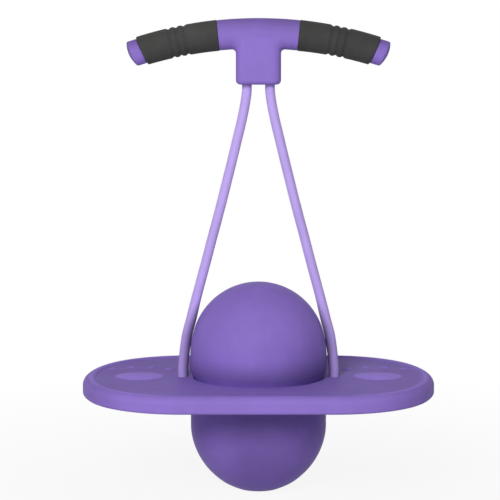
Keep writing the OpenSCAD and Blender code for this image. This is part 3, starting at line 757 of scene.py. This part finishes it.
def ball_profile(ball, deck, inset):
    """Half outline of the ball from its foot to its top, drawn in by a wall."""
    radius = ball.radius - inset
    low_z = math.sqrt(ball.radius**2 - ball.foot**2)
    high_z = deck.crest + ball.rise
    skirt_z = deck.crest - deck.height
    foot = math.sqrt(radius**2 - (low_z - inset) ** 2)
    soft_angle = 6.0
    start = math.degrees(math.asin(foot / radius)) + soft_angle - 90
    # The foot, flat and then turning up: (share of its radius, lift)
    flat = ((0, 0), (0.5, 0), (0.85, 0), (1.06, 0.03 * MM), (1.2, 0.5 * MM))
    points = [(foot * share, inset + lift) for share, lift in flat]
    for r, z in arc((0, low_z), radius, start, 0, 36):
        sag = ball.sag * (1 - ease(z, 8 * MM, 18 * MM))
        points.append((r + ball.bulge * ease(z, 0.4 * low_z, low_z), z - sag))
    steps = np.linspace(0, 1, 13)
    low = [(tuck_in(ball, inset, ball.bulge, ball.tuck, t), skirt_z + ball.tuck * (t - 1)) for t in steps]
    seat_z = deck.crest - deck.drop + ball.seat
    high = [(tuck_in(ball, inset, ball.press, ball.fold, t), seat_z + ball.fold * (1 - t)) for t in steps]
    points += low + high[::-1]
    side = [(radius, z) for z in np.linspace(seat_z + ball.fold, high_z, 7)[1:-1]]
    for r, z in side + arc((0, high_z), radius, 0, 90, 36)[:-1]:
        points.append((r + ball.press * (1 - ease(z, deck.crest + 11 * MM, high_z + 24 * MM)), z))
    return points + [(0, high_z + radius)]


class POGO_OT_ball(bpy.types.Operator):
    """Blows the waisted air ball, hollow and open at its valve"""

    bl_idname = "pogo.ball"
    bl_label = "Ball"

    def execute(self, context):
        ball, deck = context.scene.pogo_ball, context.scene.pogo_deck
        skin = moulded("soft_ball_skin", context.scene.pogo_colours.ball, SOFT_SKIN, toned=True)
        upright = Matrix.Identity(4)
        piece = revolve(ball_profile(ball, deck, 0), upright, ball.segments).piece("air_ball", skin)
        inner = ball_profile(ball, deck, ball.wall)
        hollow = revolve(inner, upright, ball.segments // 2).piece("ball_hollow", skin)
        middle = Vector((0, 0, deck.crest + ball.rise))
        way = Matrix.Translation(middle) @ Matrix.Rotation(-ball.valve_angle, 4, "X")
        far = ball.radius + ball.wall
        near = 0.7 * far
        rod = [(0, near), (ball.valve_r, near), (ball.valve_r, far), (0, far)]
        cutter = revolve(rod, way, 48).piece("valve_drill", skin)
        for tool in (hollow, cutter):
            cut = piece.modifiers.new(tool.name, "BOOLEAN")
            cut.operation, cut.solver, cut.object = "DIFFERENCE", "EXACT", tool
        made = bpy.data.meshes.new_from_object(piece.evaluated_get(context.evaluated_depsgraph_get()))
        piece.modifiers.clear()
        piece.data = made
        for tool in (hollow, cutter):
            bpy.data.objects.remove(tool)
        # Painted light and shade of the ball, stored at its points
        set_tone(piece, ball_light_and_shade)
        hand_over(piece, "ball_skin")
        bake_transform(piece)
        return {"FINISHED"}


class POGO_OT_valve(bpy.types.Operator):
    """Finishes the valve's seat and plug"""

    bl_idname = "pogo.valve"
    bl_label = "Valve"

    def execute(self, context):
        colours = context.scene.pogo_colours
        dress("valve_seat", moulded("soft_valve_seat", colours.ball, SOFT_SKIN))
        dress("valve_plug", moulded("soft_valve_plug", colours.plug, SOFT_SKIN))
        return {"FINISHED"}


# Deck


class DeckForm:
    """The deck's plan and heights, from its sizes."""

    def __init__(self, deck):
        self.deck = deck
        self.tread_z = deck.crest - deck.drop
        self.under_z = self.tread_z - deck.thick
        self.skirt_z = deck.crest - deck.height
        self.end_x = deck.long / 2 - deck.end_r
        reach = deck.end_r - deck.corner_r
        self.corner_y = deck.deep / 2 - deck.corner_r
        self.end_angle = math.asin(self.corner_y / reach)
        self.corner_x = self.end_x + reach * math.cos(self.end_angle)

    def plan(self):
        """Points of the plan and their outward ways, counter-clockwise from the right end's lower corner."""
        deck, a = self.deck, math.degrees(self.end_angle)
        spans = (
            ((self.end_x, 0), deck.end_r, -a, a, 54),
            ((self.corner_x, self.corner_y), deck.corner_r, a, 90, 20),
            ((-self.corner_x, self.corner_y), deck.corner_r, 90, 180 - a, 20),
        )
        end, right, left = (list(zip(arc(*span), arc((0, 0), 1, *span[2:]))) for span in spans)
        line = np.linspace(self.corner_x, -self.corner_x, 45)[1:-1]
        half = end[1:] + right[1:] + [((x, deck.deep / 2), (0.0, 1.0)) for x in line] + left
        return half + [((-x, -y), (-c, -s)) for (x, y), (c, s) in half]

    def half_depth(self, x, inset):
        """Half depth of the plan at x, drawn in."""
        deck = self.deck
        if x < self.corner_x:
            return deck.deep / 2 - inset
        if x < self.end_x + (deck.end_r - inset) * math.cos(self.end_angle):
            return self.corner_y + math.sqrt((deck.corner_r - inset) ** 2 - (x - self.corner_x) ** 2)
        return math.sqrt((deck.end_r - inset) ** 2 - (x - self.end_x) ** 2)

    def half_length(self, y, inset):
        """Half length of the plan at y, drawn in."""
        deck = self.deck
        if y < (deck.end_r - inset) * math.sin(self.end_angle):
            return self.end_x + math.sqrt((deck.end_r - inset) ** 2 - y * y)
        return self.corner_x + math.sqrt((deck.corner_r - inset) ** 2 - (y - self.corner_y) ** 2)

    def edge_profile(self):
        """The edge from under the tread round the skirt and over the rim, as (distance in, height)."""
        deck = self.deck
        edge, fine, root = deck.edge_r, 0.3 * MM, 1.0 * MM
        rim_z = deck.crest - deck.rim_r
        profile = arc((deck.wall + root, self.under_z - root), root, 90, 180, 4)
        profile += arc((deck.wall - fine, self.skirt_z + fine), fine, 0, -90, 4)
        profile += arc((edge, self.skirt_z + edge), edge, -90, -180, 10)
        profile += [(0, (self.skirt_z + rim_z) / 2)]
        lift = deck.rim_r - deck.drop + deck.sweep_r
        meet = math.degrees(math.acos(lift / (deck.rim_r + deck.sweep_r)))
        across = (deck.rim_r + deck.sweep_r) * math.sin(math.radians(meet))
        profile += arc((deck.rim_r, rim_z), deck.rim_r, 180, 90 - meet, 22)
        hollow = (deck.rim_r + across, self.tread_z + deck.sweep_r)
        profile += arc(hollow, deck.sweep_r, 270 - meet, 270, 8)[1:]
        self.rim_w = deck.rim_r + across + 1 * MM
        return profile + [(self.rim_w, self.tread_z)]

    def bore_profile(self, hole, lip, low, steps):
        """A hole with a round lip and the wall round it, down to a height, as (radius, height)."""
        wall, fine = self.deck.wall, 0.5 * MM
        profile = arc((hole + lip, self.tread_z - lip), lip, 90, 180, steps)
        profile += arc((hole + fine, low + fine), fine, 180, 270, 3)
        profile += arc((hole + wall - fine, low + fine), fine, -90, 0, 3)
        return profile + [(hole + wall, self.under_z)]

    def tone(self, x, y, z):
        """The deck's painted light and shade: painted shade on the sunken tread, painted highlights on the
        pads and studs that fade towards their rear, and on the rim's crest towards the ends.
        """
        crest_highlight, tread, relief_highlight, highlight_rear_fade = 0.3, 0.94, 0.52, 0.6
        rise = z - self.tread_z
        inset = self.rim_w - 0.1 * MM
        below = rise < -0.05 * MM
        if below or abs(y) > self.deck.deep / 2 - inset or abs(x) > self.half_length(abs(y), inset):
            # Painted highlight along the rim's crest towards the ends
            wear_and_highlight = ease(abs(x), 80 * MM, 150 * MM) * ease(z - self.deck.crest, -0.8 * MM, -0.1 * MM)
            return 1.0 + crest_highlight * wear_and_highlight
        # Painted shade on the tread, and painted highlights on the pads and studs, fainter at their rear
        highlight_fade = highlight_rear_fade * ease(y, 2 * MM, 26 * MM)
        return tread + relief_highlight * ease(rise, 0.05 * MM, 0.7 * MM) * (1 - highlight_fade)

    def relief(self, x, y):
        """Height of the tread with its foot pads and studs."""
        deck, side = self.deck, abs(x)
        rise = deck.pad_h * (1 - ((side - deck.pad_x) / (deck.pad_l / 2)) ** 2 - (y / (deck.pad_d / 2)) ** 2)
        height = soft_rise(rise, 0.5 * MM)
        for turn in (-deck.stud_outer, -deck.stud_inner, deck.stud_inner, deck.stud_outer):
            across = side - deck.pad_x - deck.stud_arc * math.sin(turn)
            along = y - deck.stud_arc * math.cos(turn)
            height += soft_rise(deck.stud_h * (1 - (across**2 + along**2) / deck.stud_r**2), 0.35 * MM)
        return self.tread_z + height


def soft_rise(rise, soft):
    """A height that leaves its ground in a small hollow curve."""
    if rise < -soft:
        return 0.0
    return rise if rise > soft else (rise + soft) ** 2 / (4 * soft)


def grid_points(low, high, step):
    """Points of a triangular grid in a box."""
    row = step * math.sqrt(0.75)
    found = []
    for j in range(int((high[1] - low[1]) / row) + 1):
        y = low[1] + j * row
        for i in range(int((high[0] - low[0]) / step) + 1):
            found.append((low[0] + (i + 0.5 * (j % 2)) * step, y))
    return found


def add_rib(sheet, low, high, edge):
    """A rib with chamfered lower edges, from one corner to the other."""
    (x0, y0, z0), (x1, y1, z1) = low, high
    rings = []
    for z, inset in ((z1, 0), (z0 + edge, 0), (z0, edge)):
        left, right, front, back = x0 + inset, x1 - inset, y0 + inset, y1 - inset
        corners = ((left, front), (right, front), (right, back), (left, back))
        rings.append(sheet.ring((x, y, z) for x, y in corners))
    sheet.walls(rings)
    sheet.faces += [tuple(rings[0]), tuple(reversed(rings[-1]))]


class POGO_OT_deck(bpy.types.Operator):
    """Moulds the deck: rolled rim, sunken tread with foot pads, collar, bosses and ribs"""

    bl_idname = "pogo.deck"
    bl_label = "Deck"

    def execute(self, context):
        deck, cord = context.scene.pogo_deck, context.scene.pogo_cord
        form, sheet = DeckForm(deck), Sheet()
        plan = form.plan()
        rings = []
        for inset, z in form.edge_profile():
            rings.append(sheet.ring((x - inset * a, y - inset * b, z) for (x, y), (a, b) in plan))
        sheet.walls(rings)
        tops, unders = [rings[-1]], [rings[0]]
        boss_z = form.tread_z - deck.boss_depth
        collar = form.bore_profile(deck.hole_r, deck.lip_r, form.skirt_z, 6)
        boss = form.bore_profile(deck.boss_r, deck.boss_lip_r, boss_z, 4)
        for x, profile, count in ((0.0, collar, 160), (-cord.hole_x, boss, 40), (cord.hole_x, boss, 40)):
            bore = [sheet.ring(circle(x, radius, z, count)) for radius, z in profile]
            sheet.walls(bore)
            tops.append(bore[0])
            unders.append(bore[-1])
        sheet.fill(tops, self.tread_points(form, rings[-1], sheet, cord), form.relief, True)
        sheet.fill(unders, [], lambda x, y: form.under_z, False)
        self.add_ribs(sheet, form)
        # The deck's plastic, with its painted light and shade
        painted_deck_finish = moulded("deck_plastic_painted_light", context.scene.pogo_colours.shell, SATIN, toned=True)
        piece = sheet.piece("deck_moulding", painted_deck_finish)
        set_tone(piece, form.tone)
        hand_over(piece, "deck", "deck")
        return {"FINISHED"}

    @staticmethod
    def tread_points(form, rim, sheet, cord):
        """Points on the tread, close together at the foot pads, clear of its edges."""
        deck, margin, spare = form.deck, 1.2 * MM, 3 * MM
        coarse, close = 6 * MM, 1.7 * MM
        edge = max(x for x, _, _ in (sheet.points[n] for n in rim))
        depth = max(y for _, y, _ in (sheet.points[n] for n in rim))
        inset = deck.long / 2 - edge + margin
        reach = deck.stud_arc + deck.stud_r + spare

        def is_open(x, y):
            if math.hypot(x, y) < deck.hole_r + deck.lip_r + margin:
                return False
            if math.hypot(abs(x) - cord.hole_x, y) < deck.boss_r + deck.boss_lip_r + margin:
                return False
            return abs(x) < edge - margin and abs(y) < form.half_depth(abs(x), inset)

        def is_pad(x, y):
            return abs(abs(x) - deck.pad_x) < reach and -deck.pad_d / 2 - spare < y < reach

        box = ((-edge, -depth), (edge, depth))
        found = [p for p in grid_points(*box, coarse) if is_open(*p) and not is_pad(*p)]
        return found + [p for p in grid_points(*box, close) if is_open(*p) and is_pad(*p)]

    @staticmethod
    def add_ribs(sheet, form):
        """Ribs across and along the underside, from the skirt to the collar."""
        deck, edge, bite = form.deck, 0.4 * MM, 0.5 * MM
        half = deck.rib_t / 2
        low, high = form.skirt_z + deck.rib_lift, form.under_z + bite
        # The ribs end inside the skirt's wall and the collar's
        inset, collar = 0.8 * deck.wall, deck.hole_r + 0.75 * deck.wall
        count = math.ceil(deck.long / deck.rib_pitch / 2)
        for number in range(-count, count):
            place = (number + 0.5) * deck.rib_pitch
            far = abs(place) + half
            start = math.sqrt(max(collar**2 - far**2, 0))
            if far < deck.long / 2 - deck.rim_r:
                reach = form.half_depth(far, inset)
                for y0, y1 in ((start, reach), (-reach, -start)) if start else ((-reach, reach),):
                    add_rib(sheet, (place - half, y0, low), (place + half, y1, high), edge)
            if far < deck.deep / 2 - deck.rim_r:
                reach = form.half_length(far, inset)
                for x0, x1 in ((start, reach), (-reach, -start)) if start else ((-reach, reach),):
                    add_rib(sheet, (x0, place - half, low), (x1, place + half, high), edge)


# Handle


def on_arch(handle, s):
    """Frame on the bar's arch at a distance from its middle, Z along the bar and away from the middle."""
    angle = s / handle.arch_r
    middle = Vector((0, 0, handle.bar_z - handle.arch_r))
    out = 1 if s > 0 else -1
    along = Vector((math.cos(angle), 0, -math.sin(angle))) * out
    up = Vector((math.sin(angle), 0, math.cos(angle)))
    place = Matrix((up, along.cross(up), along)).transposed().to_4x4()
    place.translation = middle + up * handle.arch_r
    return place


def handle_top_shade(x, y, z):
    """The handle's painted shade: the bar's upper side darker."""
    # Painted shade: darker on the upper side of the bar and the caps
    handle, top_shade = bpy.context.scene.pogo_handle, 0.22
    above = math.hypot(x, z - handle.bar_z + handle.arch_r) - handle.arch_r
    return 1 - top_shade * ease(above, -8 * MM, 14 * MM)


class HandleForm:
    """Distances to the handle's surfaces, which are below 0 inside it."""

    def __init__(self, handle, cord):
        self.handle, self.cord = handle, cord
        self.arch_z = handle.bar_z - handle.arch_r
        outer_turn = handle.screw_s / handle.arch_r
        outer = (handle.arch_r * math.sin(outer_turn), self.arch_z + handle.arch_r * math.cos(outer_turn))
        boss_wall, post_gap = 1.6 * MM, 0.3 * MM
        boss = handle.screw_head_r + boss_wall
        post = cord.strand_x - cord.thick / 2 - post_gap
        self.bosses = [(-outer[0], outer[1], boss), (*outer, boss), (0.0, cord.post_z, post)]

    def bar(self, x, y, z, radius):
        """Distance to a round bar on the arch."""
        return np.hypot(np.hypot(x, z - self.arch_z) - self.handle.arch_r, y) - radius

    def stem(self, x, y, z, inset, low, corner, edge):
        """Distance to a stem with rounded upright corners and a rounded lower edge, up to the bar's axis."""
        handle = self.handle
        across = np.abs(x) - handle.stem_w / 2 + inset + corner
        deep = np.abs(y) - handle.stem_d / 2 + inset + corner
        plan = rounded(across, deep, corner)
        return np.maximum(rounded(plan + edge, low - z + edge, edge), z - handle.bar_z)

    def at(self, x, y, z):
        """Distance to the whole handle's middle: shell, bosses, screw holes and cord holes."""
        handle, cord, wall = self.handle, self.cord, self.handle.wall
        screw_tip, play = 7 * MM, 0.5 * MM
        floor_edge, head_edge, mouth_edge = 1 * MM, 0.7 * MM, 0.9 * MM
        # The bar's join with the stem: its reach on the stem's face, and where and over what width it grows
        tight, start, run = 1 * MM, 17 * MM, 7 * MM
        near = np.clip((np.abs(x) - start) / run, 0, 1)
        reach = tight + (handle.crotch - tight) * near * near * (3 - 2 * near)
        bar = self.bar(x, y, z, handle.bar_r)
        stem = self.stem(x, y, z, 0.0, cord.mouth_z, handle.stem_corner, handle.stem_edge)
        outer = soft_join(bar, stem, reach)
        hollow = np.maximum(self.bar(x, y, z, handle.bar_r - wall), np.abs(x) - handle.hub_half + wall)
        hollow = np.minimum(hollow, self.bar(x, y, z, handle.spigot_r + handle.spigot_fit))
        floor = cord.mouth_z + handle.floor
        hollow = np.minimum(hollow, self.stem(x, y, z, wall, floor, handle.stem_corner - wall, floor_edge))
        form = np.maximum(outer, -hollow)
        for place, height, radius in self.bosses:
            off = np.hypot(x - place, z - height)
            form = np.minimum(form, np.maximum(off - radius, outer + wall / 2))
            form = np.maximum(form, -np.maximum(off - handle.screw_r, -screw_tip - y))
            head = np.maximum(off - handle.screw_head_r, handle.screw_seat - y)
            form = -soft_join(-form, head, head_edge)
        strand = np.hypot(np.abs(x) - cord.strand_x, y) - cord.thick / 2 - play
        return -soft_join(-form, np.maximum(strand, z - floor - floor_edge), mouth_edge)

    def half(self, side):
        """Distance to one half, cut at the parting face and at the grips, as a function of a place."""
        handle, gap = self.handle, 0.04 * MM

        def distance(x, y, z):
            along = handle.arch_r * np.abs(np.arctan2(x, z - self.arch_z)) - handle.hub_half
            return np.maximum(np.maximum(self.at(x, y, z), gap - side * y), along)

        return distance


def rounded(a, b, radius):
    """Distance to where two distances are below a radius, their common edge rounded."""
    return np.hypot(np.maximum(a, 0), np.maximum(b, 0)) + np.minimum(np.maximum(a, b), 0) - radius


def soft_join(a, b, reach):
    """The nearer of two distances, with a hollow curve of a given reach where they meet."""
    blend = np.maximum(reach - np.abs(a - b), 0) / reach
    return np.minimum(a, b) - blend * blend * reach / 4


def surface(distance, low, high, step):
    """Points and quads of the surface where a distance is 0, in a box."""
    pulls = 4
    axes = [np.arange(a, b + step, step) for a, b in zip(low, high)]
    grid = np.stack(np.meshgrid(*axes, indexing="ij"), axis=-1)
    value = distance(grid[..., 0], grid[..., 1], grid[..., 2])
    inside = value < 0
    cells = tuple(n - 1 for n in value.shape)
    total, count = np.zeros((*cells, 3)), np.zeros(cells)
    crossings = []
    for axis in range(3):
        start = [slice(None)] * 3
        stop = [slice(None)] * 3
        start[axis], stop[axis] = slice(None, -1), slice(1, None)
        start, stop = tuple(start), tuple(stop)
        cross = inside[start] != inside[stop]
        crossings.append((cross, inside[start]))
        share = np.where(cross, value[start] / np.where(cross, value[start] - value[stop], 1), 0)
        place = grid[start] + (grid[stop] - grid[start]) * share[..., None]
        others = [other for other in range(3) if other != axis]
        for shift in ((0, 0), (0, 1), (1, 0), (1, 1)):
            pick = [slice(None)] * 3
            for other, s in zip(others, shift):
                pick[other] = slice(s, s + cells[other])
            part = cross[tuple(pick)]
            total += place[tuple(pick)] * part[..., None]
            count += part
    used = count > 0
    number = np.full(cells, -1)
    number[used] = np.arange(used.sum())
    points = total[used] / count[used][:, None]
    for _ in range(pulls):
        points = points - pull(distance, points)
    faces = []
    for axis, (cross, below) in enumerate(crossings):
        b, c = [(1, 2), (2, 0), (0, 1)][axis]
        at = np.argwhere(cross)
        at = at[(at[:, b] > 0) & (at[:, c] > 0) & (at[:, b] < cells[b]) & (at[:, c] < cells[c])]
        corners = []
        for shift in ((1, 1), (0, 1), (0, 0), (1, 0)):
            cell = at.copy()
            cell[:, b] -= shift[0]
            cell[:, c] -= shift[1]
            corners.append(number[tuple(cell.T)])
        quads = np.stack(corners, axis=1)
        turned = below[tuple(at.T)]
        faces.append(np.where(turned[:, None], quads, quads[:, ::-1]))
    return points, np.concatenate(faces)


def pull(distance, points):
    """The step from points to the surface where a distance is 0."""
    fine, least_slope, most = 0.05 * MM, 0.25, 0.3 * MM
    here = distance(*points.T)
    slope = np.zeros_like(points)
    for axis in range(3):
        moved = points.copy()
        moved[:, axis] += fine
        slope[:, axis] = (distance(*moved.T) - here) / fine
    size = np.maximum((slope**2).sum(1), least_slope)
    return np.clip(here / size, -most, most)[:, None] * slope


class POGO_OT_handle(bpy.types.Operator):
    """Moulds the two halves of the handle with their bosses and arms, and finishes their screws"""

    bl_idname = "pogo.handle"
    bl_label = "Handle"

    def execute(self, context):
        handle, cord = context.scene.pogo_handle, context.scene.pogo_cord
        form, step = HandleForm(handle, cord), 0.735 * MM
        reach, deep, spare = handle.hub_half + 3 * MM, handle.bar_r + 2.3 * MM, 1.6 * MM
        base, top = cord.mouth_z - 2.2 * MM, handle.bar_z + handle.bar_r + 2.2 * MM
        for side, node in ((-1, "front"), (1, "rear")):
            near, far = sorted((-side * spare, side * deep))
            points, faces = surface(form.half(side), (-reach, near, base), (reach, far, top), step)
            sheet = Sheet()
            sheet.points += [tuple(p) for p in points]
            sheet.faces += [tuple(int(n) for n in face) for face in faces]
            for sign, _ in SIDES:
                self.add_arm(sheet, handle, sign, side)
            piece = sheet.piece(f"{node}_half_moulding", shell_material(), math.radians(35))
            # Painted shade on the bar's upper side
            set_tone(piece, handle_top_shade)
            hand_over(piece, f"handle_{node}", "handle")
        dress("handle_screws", steel_material())
        return {"FINISHED"}

    @staticmethod
    def add_arm(sheet, handle, sign, side):
        """Half of a hollow arm under a grip."""
        steps = 24
        bore = handle.spigot_r + handle.spigot_fit
        section = arc((0, 0), handle.core_r, 0, 180, steps) + arc((0, 0), bore, 180, 0, steps)
        start, stop = handle.hub_half - 0.5 * MM, handle.hub_half + handle.grip_l + handle.grip_fit
        rings = []
        for s in np.linspace(start, stop, 20):
            place = on_arch(handle, sign * s)
            flip = 1 if place.col[1].y * side > 0 else -1
            rings.append(sheet.ring(place @ Vector((a, flip * b, 0)) for a, b in section))
        sheet.walls(rings)
        last = len(rings[0]) - 1
        for ring in (rings[0], rings[-1]):
            sheet.faces += [(ring[k], ring[k + 1], ring[last - k - 1], ring[last - k]) for k in range(steps)]


def slant(lean):
    """Leans a section of the bar, its top outwards."""
    return Matrix(((1, 0, 0, 0), (0, 1, 0, 0), (math.tan(lean), 0, 1, 0), (0, 0, 0, 1)))


def grip_radius(handle, s):
    """Outer radius of a grip at a distance along the arch."""
    share = (s - handle.hub_half) / handle.grip_l
    radius = handle.grip_r + (handle.grip_tip_r - handle.grip_r) * share
    for number in (-1, 0, 1):
        off = s - handle.groove_s - number * handle.groove_pitch
        if abs(off) < handle.groove_w / 2:
            radius -= handle.groove_depth * math.cos(math.pi * off / handle.groove_w) ** 2
    return radius


class POGO_OT_grips(bpy.types.Operator):
    """Sleeves the arms in grooved rubber grips"""

    bl_idname = "pogo.grips"
    bl_label = "Grips"

    def execute(self, context):
        handle = context.scene.pogo_handle
        rubber = moulded("matt_grip_rubber", context.scene.pogo_colours.rubber, MATT_RUBBER)
        start, stop = handle.hub_half, handle.hub_half + handle.grip_l
        edge, lead, bend = 1.2 * MM, 2 * MM, 15 * MM
        bore = handle.core_r + handle.grip_fit
        profile = [(bore, stop - lead), (bore, stop - edge / 2), (bore + edge / 2, stop)]
        tip = grip_radius(handle, stop)
        profile += [(tip - edge + r, stop - edge + z) for r, z in arc((0, 0), edge, 90, 0, 5)]
        for s in np.linspace(stop - edge, start + edge, 118)[1:-1]:
            profile.append((grip_radius(handle, s), s))
        root = grip_radius(handle, start)
        profile += [(root - edge + r, start + edge + z) for r, z in arc((0, 0), edge, 0, -90, 5)]
        profile += [(bore + edge / 2, start), (bore, start + edge / 2)]
        profile += [(bore, s) for s in np.linspace(start + lead, stop - lead, 16)[:-1]]
        for sign, side in SIDES:
            sheet, rings = Sheet(), []
            for radius, s in profile:
                lean = handle.cap_lean * ease(s, stop - bend, stop)
                place = on_arch(handle, sign * s) @ slant(lean)
                rings.append(sheet.ring(place @ Vector(p) for p in circle(0, radius, 0, handle.segments)))
            sheet.walls(rings + rings[:1])
            piece = sheet.piece(f"{side}_grip_sleeve", rubber)
            hand_over(piece, f"{side}_grip", "handle")
        return {"FINISHED"}


class POGO_OT_end_caps(bpy.types.Operator):
    """Turns the domed end caps with their spigots"""

    bl_idname = "pogo.end_caps"
    bl_label = "End caps"

    def execute(self, context):
        handle = context.scene.pogo_handle
        edge, fine = handle.cap_edge, 0.4 * MM
        dome = (handle.cap_r**2 + handle.cap_dome**2) / (2 * handle.cap_dome)
        middle = handle.cap_l + handle.cap_dome - dome
        lean = math.degrees(math.acos((handle.cap_r - edge) / (dome - edge)))
        height = middle + (dome - edge) * math.sin(math.radians(lean))
        profile = [(0, -handle.spigot_l), (handle.spigot_r - 3 * fine, -handle.spigot_l)]
        profile += [(handle.spigot_r, -handle.spigot_l + 3 * fine), (handle.spigot_r, 0)]
        profile += arc((handle.cap_r - fine, fine), fine, -90, 0, 3)
        profile += [(handle.cap_r, height / 2)]
        profile += arc((handle.cap_r - edge, height), edge, 0, lean, 6)
        profile += arc((0, middle), dome, lean, 90, 14)[1:-1]
        profile += [(0, middle + dome)]
        reach = handle.hub_half + handle.grip_l + handle.grip_fit
        for sign, side in SIDES:
            place = on_arch(handle, sign * reach) @ slant(handle.cap_lean)
            piece = revolve(profile, place, handle.segments).piece(f"{side}_domed_cap", shell_material())
            # Painted shade, darker on the caps' upper side
            set_tone(piece, handle_top_shade)
            hand_over(piece, f"{side}_end_cap", "handle")
        return {"FINISHED"}


# Stage


def area_light(name, power, size, place, target):
    """A soft lamp that points at a place."""
    lamp = bpy.data.lights.new(name, "AREA")
    lamp.energy, lamp.shape, lamp.size = power, "DISK", size
    made = bpy.data.objects.new(name, lamp)
    made.location = place
    made.rotation_euler = (Vector(target) - Vector(place)).to_track_quat("-Z", "Y").to_euler()
    bpy.context.scene.collection.objects.link(made)


class POGO_OT_stage(bpy.types.Operator):
    """Sets up the camera, the lamps, the white surround and the floor"""

    bl_idname = "pogo.stage"
    bl_label = "Stage"

    def execute(self, context):
        scene, stage = context.scene, context.scene.pogo_stage
        scene.view_settings.view_transform = "Standard"
        target = Vector((0, 0, stage.target_z))
        way = Vector((0, -math.cos(stage.elevation), math.sin(stage.elevation)))
        camera = bpy.data.objects.new("camera", bpy.data.cameras.new("camera"))
        camera.location = target + way * stage.distance
        camera.rotation_euler = (-way).to_track_quat("-Z", "Y").to_euler()
        camera.data.sensor_width = 36.0
        camera.data.lens = stage.lens
        camera.data.shift_x, camera.data.shift_y = stage.shift_x, stage.shift_y
        scene.collection.objects.link(camera)
        scene.camera = camera
        aim = (0, 0, 0.26)
        lamps = (
            ("key_light", stage.key, 1.3, (-0.68, -2.5, 1.48)),
            ("fill_light", stage.fill, 1.0, (2.2, -1.2, 1.2)),
        )
        for name, power, size, place in lamps:
            area_light(name, power, size, place, aim)
        self.surround(scene, stage)
        self.floor()
        return {"FINISHED"}

    @staticmethod
    def seen(wires):
        """1 for a ray that shows the background: from the camera, a gloss or a glass."""
        path = wires.add("ShaderNodeLightPath").outputs
        first = wires.math("MAXIMUM", path["Is Camera Ray"], path["Is Glossy Ray"])
        return wires.math("MAXIMUM", first, path["Is Transmission Ray"])

    def surround(self, scene, stage):
        """Soft light from all round, seen as white."""
        scene.world = bpy.data.worlds.new("studio")
        w = empty_tree(scene.world)
        way = w.add("ShaderNodeTexCoord").outputs["Generated"]
        height = w.add("ShaderNodeSeparateXYZ", {"Vector": way}).outputs["Z"]
        strength = w.spread(height, 0.0, 1.0, stage.sky, stage.zenith)
        light = w.add("ShaderNodeBackground", {"Color": (1, 1, 1, 1), "Strength": strength})
        white = w.add("ShaderNodeBackground", {"Color": (1, 1, 1, 1), "Strength": 1.0})
        mix = w.add("ShaderNodeMixShader", {0: self.seen(w), 1: light.outputs[0], 2: white.outputs[0]})
        w.add("ShaderNodeOutputWorld", {"Surface": mix.outputs[0]})

    def floor(self):
        """Pale floor that keeps the board's shadow."""
        radii, paint = (0.02, 0.4, 1.0, 3.0, 9.0), (0.74, 0.74, 0.75, 1)
        near, far, near_glow = 0.15, 0.75, 0.90
        sheet = Sheet()
        rings = [sheet.ring(circle(0, radius, 0.0, 96)) for radius in radii]
        sheet.walls(rings)
        sheet.faces.append(tuple(rings[0]))
        material = bpy.data.materials.new("pale_floor")
        w = empty_tree(material)
        matt = w.add("ShaderNodeBsdfDiffuse", {"Color": paint})
        glow = w.add("ShaderNodeEmission", {"Color": (1, 1, 1, 1), "Strength": 1.0})
        place = w.add("ShaderNodeTexCoord").outputs["Object"]
        away = w.add("ShaderNodeVectorMath", {0: place}, operation="LENGTH").outputs["Value"]
        share = w.math("MULTIPLY", self.seen(w), w.spread(away, near, far, near_glow, 1.0))
        mix = w.add("ShaderNodeMixShader", {0: share, 1: matt.outputs[0], 2: glow.outputs[0]})
        w.add("ShaderNodeOutputMaterial", {"Surface": mix.outputs[0]})
        sheet.piece("floor", material)


class POGO_PT_panel(bpy.types.Panel):
    """Lists the board's pieces and sizes"""

    bl_idname = "POGO_PT_panel"
    bl_label = "Pogo Board"
    bl_space_type = "VIEW_3D"
    bl_region_type = "UI"
    bl_category = "Pogo Board"

    def draw(self, context):
        for operator in OPERATORS:
            self.layout.operator(operator.bl_idname)
        for name, group in GROUPS.items():
            box = self.layout.box()
            box.label(text=group.__doc__.rstrip("."))
            for key in group.__annotations__:
                box.prop(getattr(context.scene, name), key)


OPERATORS = (
    POGO_OT_stage,
    POGO_OT_cords,
    POGO_OT_cord_stops,
    POGO_OT_ball,
    POGO_OT_valve,
    POGO_OT_deck,
    POGO_OT_handle,
    POGO_OT_grips,
    POGO_OT_end_caps,
)
GROUPS = {
    "pogo_deck": PogoDeck,
    "pogo_ball": PogoBall,
    "pogo_cord": PogoCord,
    "pogo_handle": PogoHandle,
    "pogo_colours": PogoColours,
    "pogo_stage": PogoStage,
}


def register():
    """Adds the sizes, operators and panel to Blender."""
    for group in GROUPS.values():
        bpy.utils.register_class(group)
    for name, group in GROUPS.items():
        setattr(bpy.types.Scene, name, PointerProperty(type=group))
    for operator in OPERATORS:
        bpy.utils.register_class(operator)
    bpy.utils.register_class(POGO_PT_panel)


def unregister():
    """Takes the sizes, operators and panel out of Blender."""
    bpy.utils.unregister_class(POGO_PT_panel)
    for operator in reversed(OPERATORS):
        bpy.utils.unregister_class(operator)
    for name in GROUPS:
        delattr(bpy.types.Scene, name)
    for group in reversed(GROUPS.values()):
        bpy.utils.unregister_class(group)


def main():
    """Builds the board and its stage."""
    register()
    for operator in OPERATORS:
        family, name = operator.bl_idname.split(".")
        getattr(getattr(bpy.ops, family), name)()


if __name__ == "__main__":
    main()
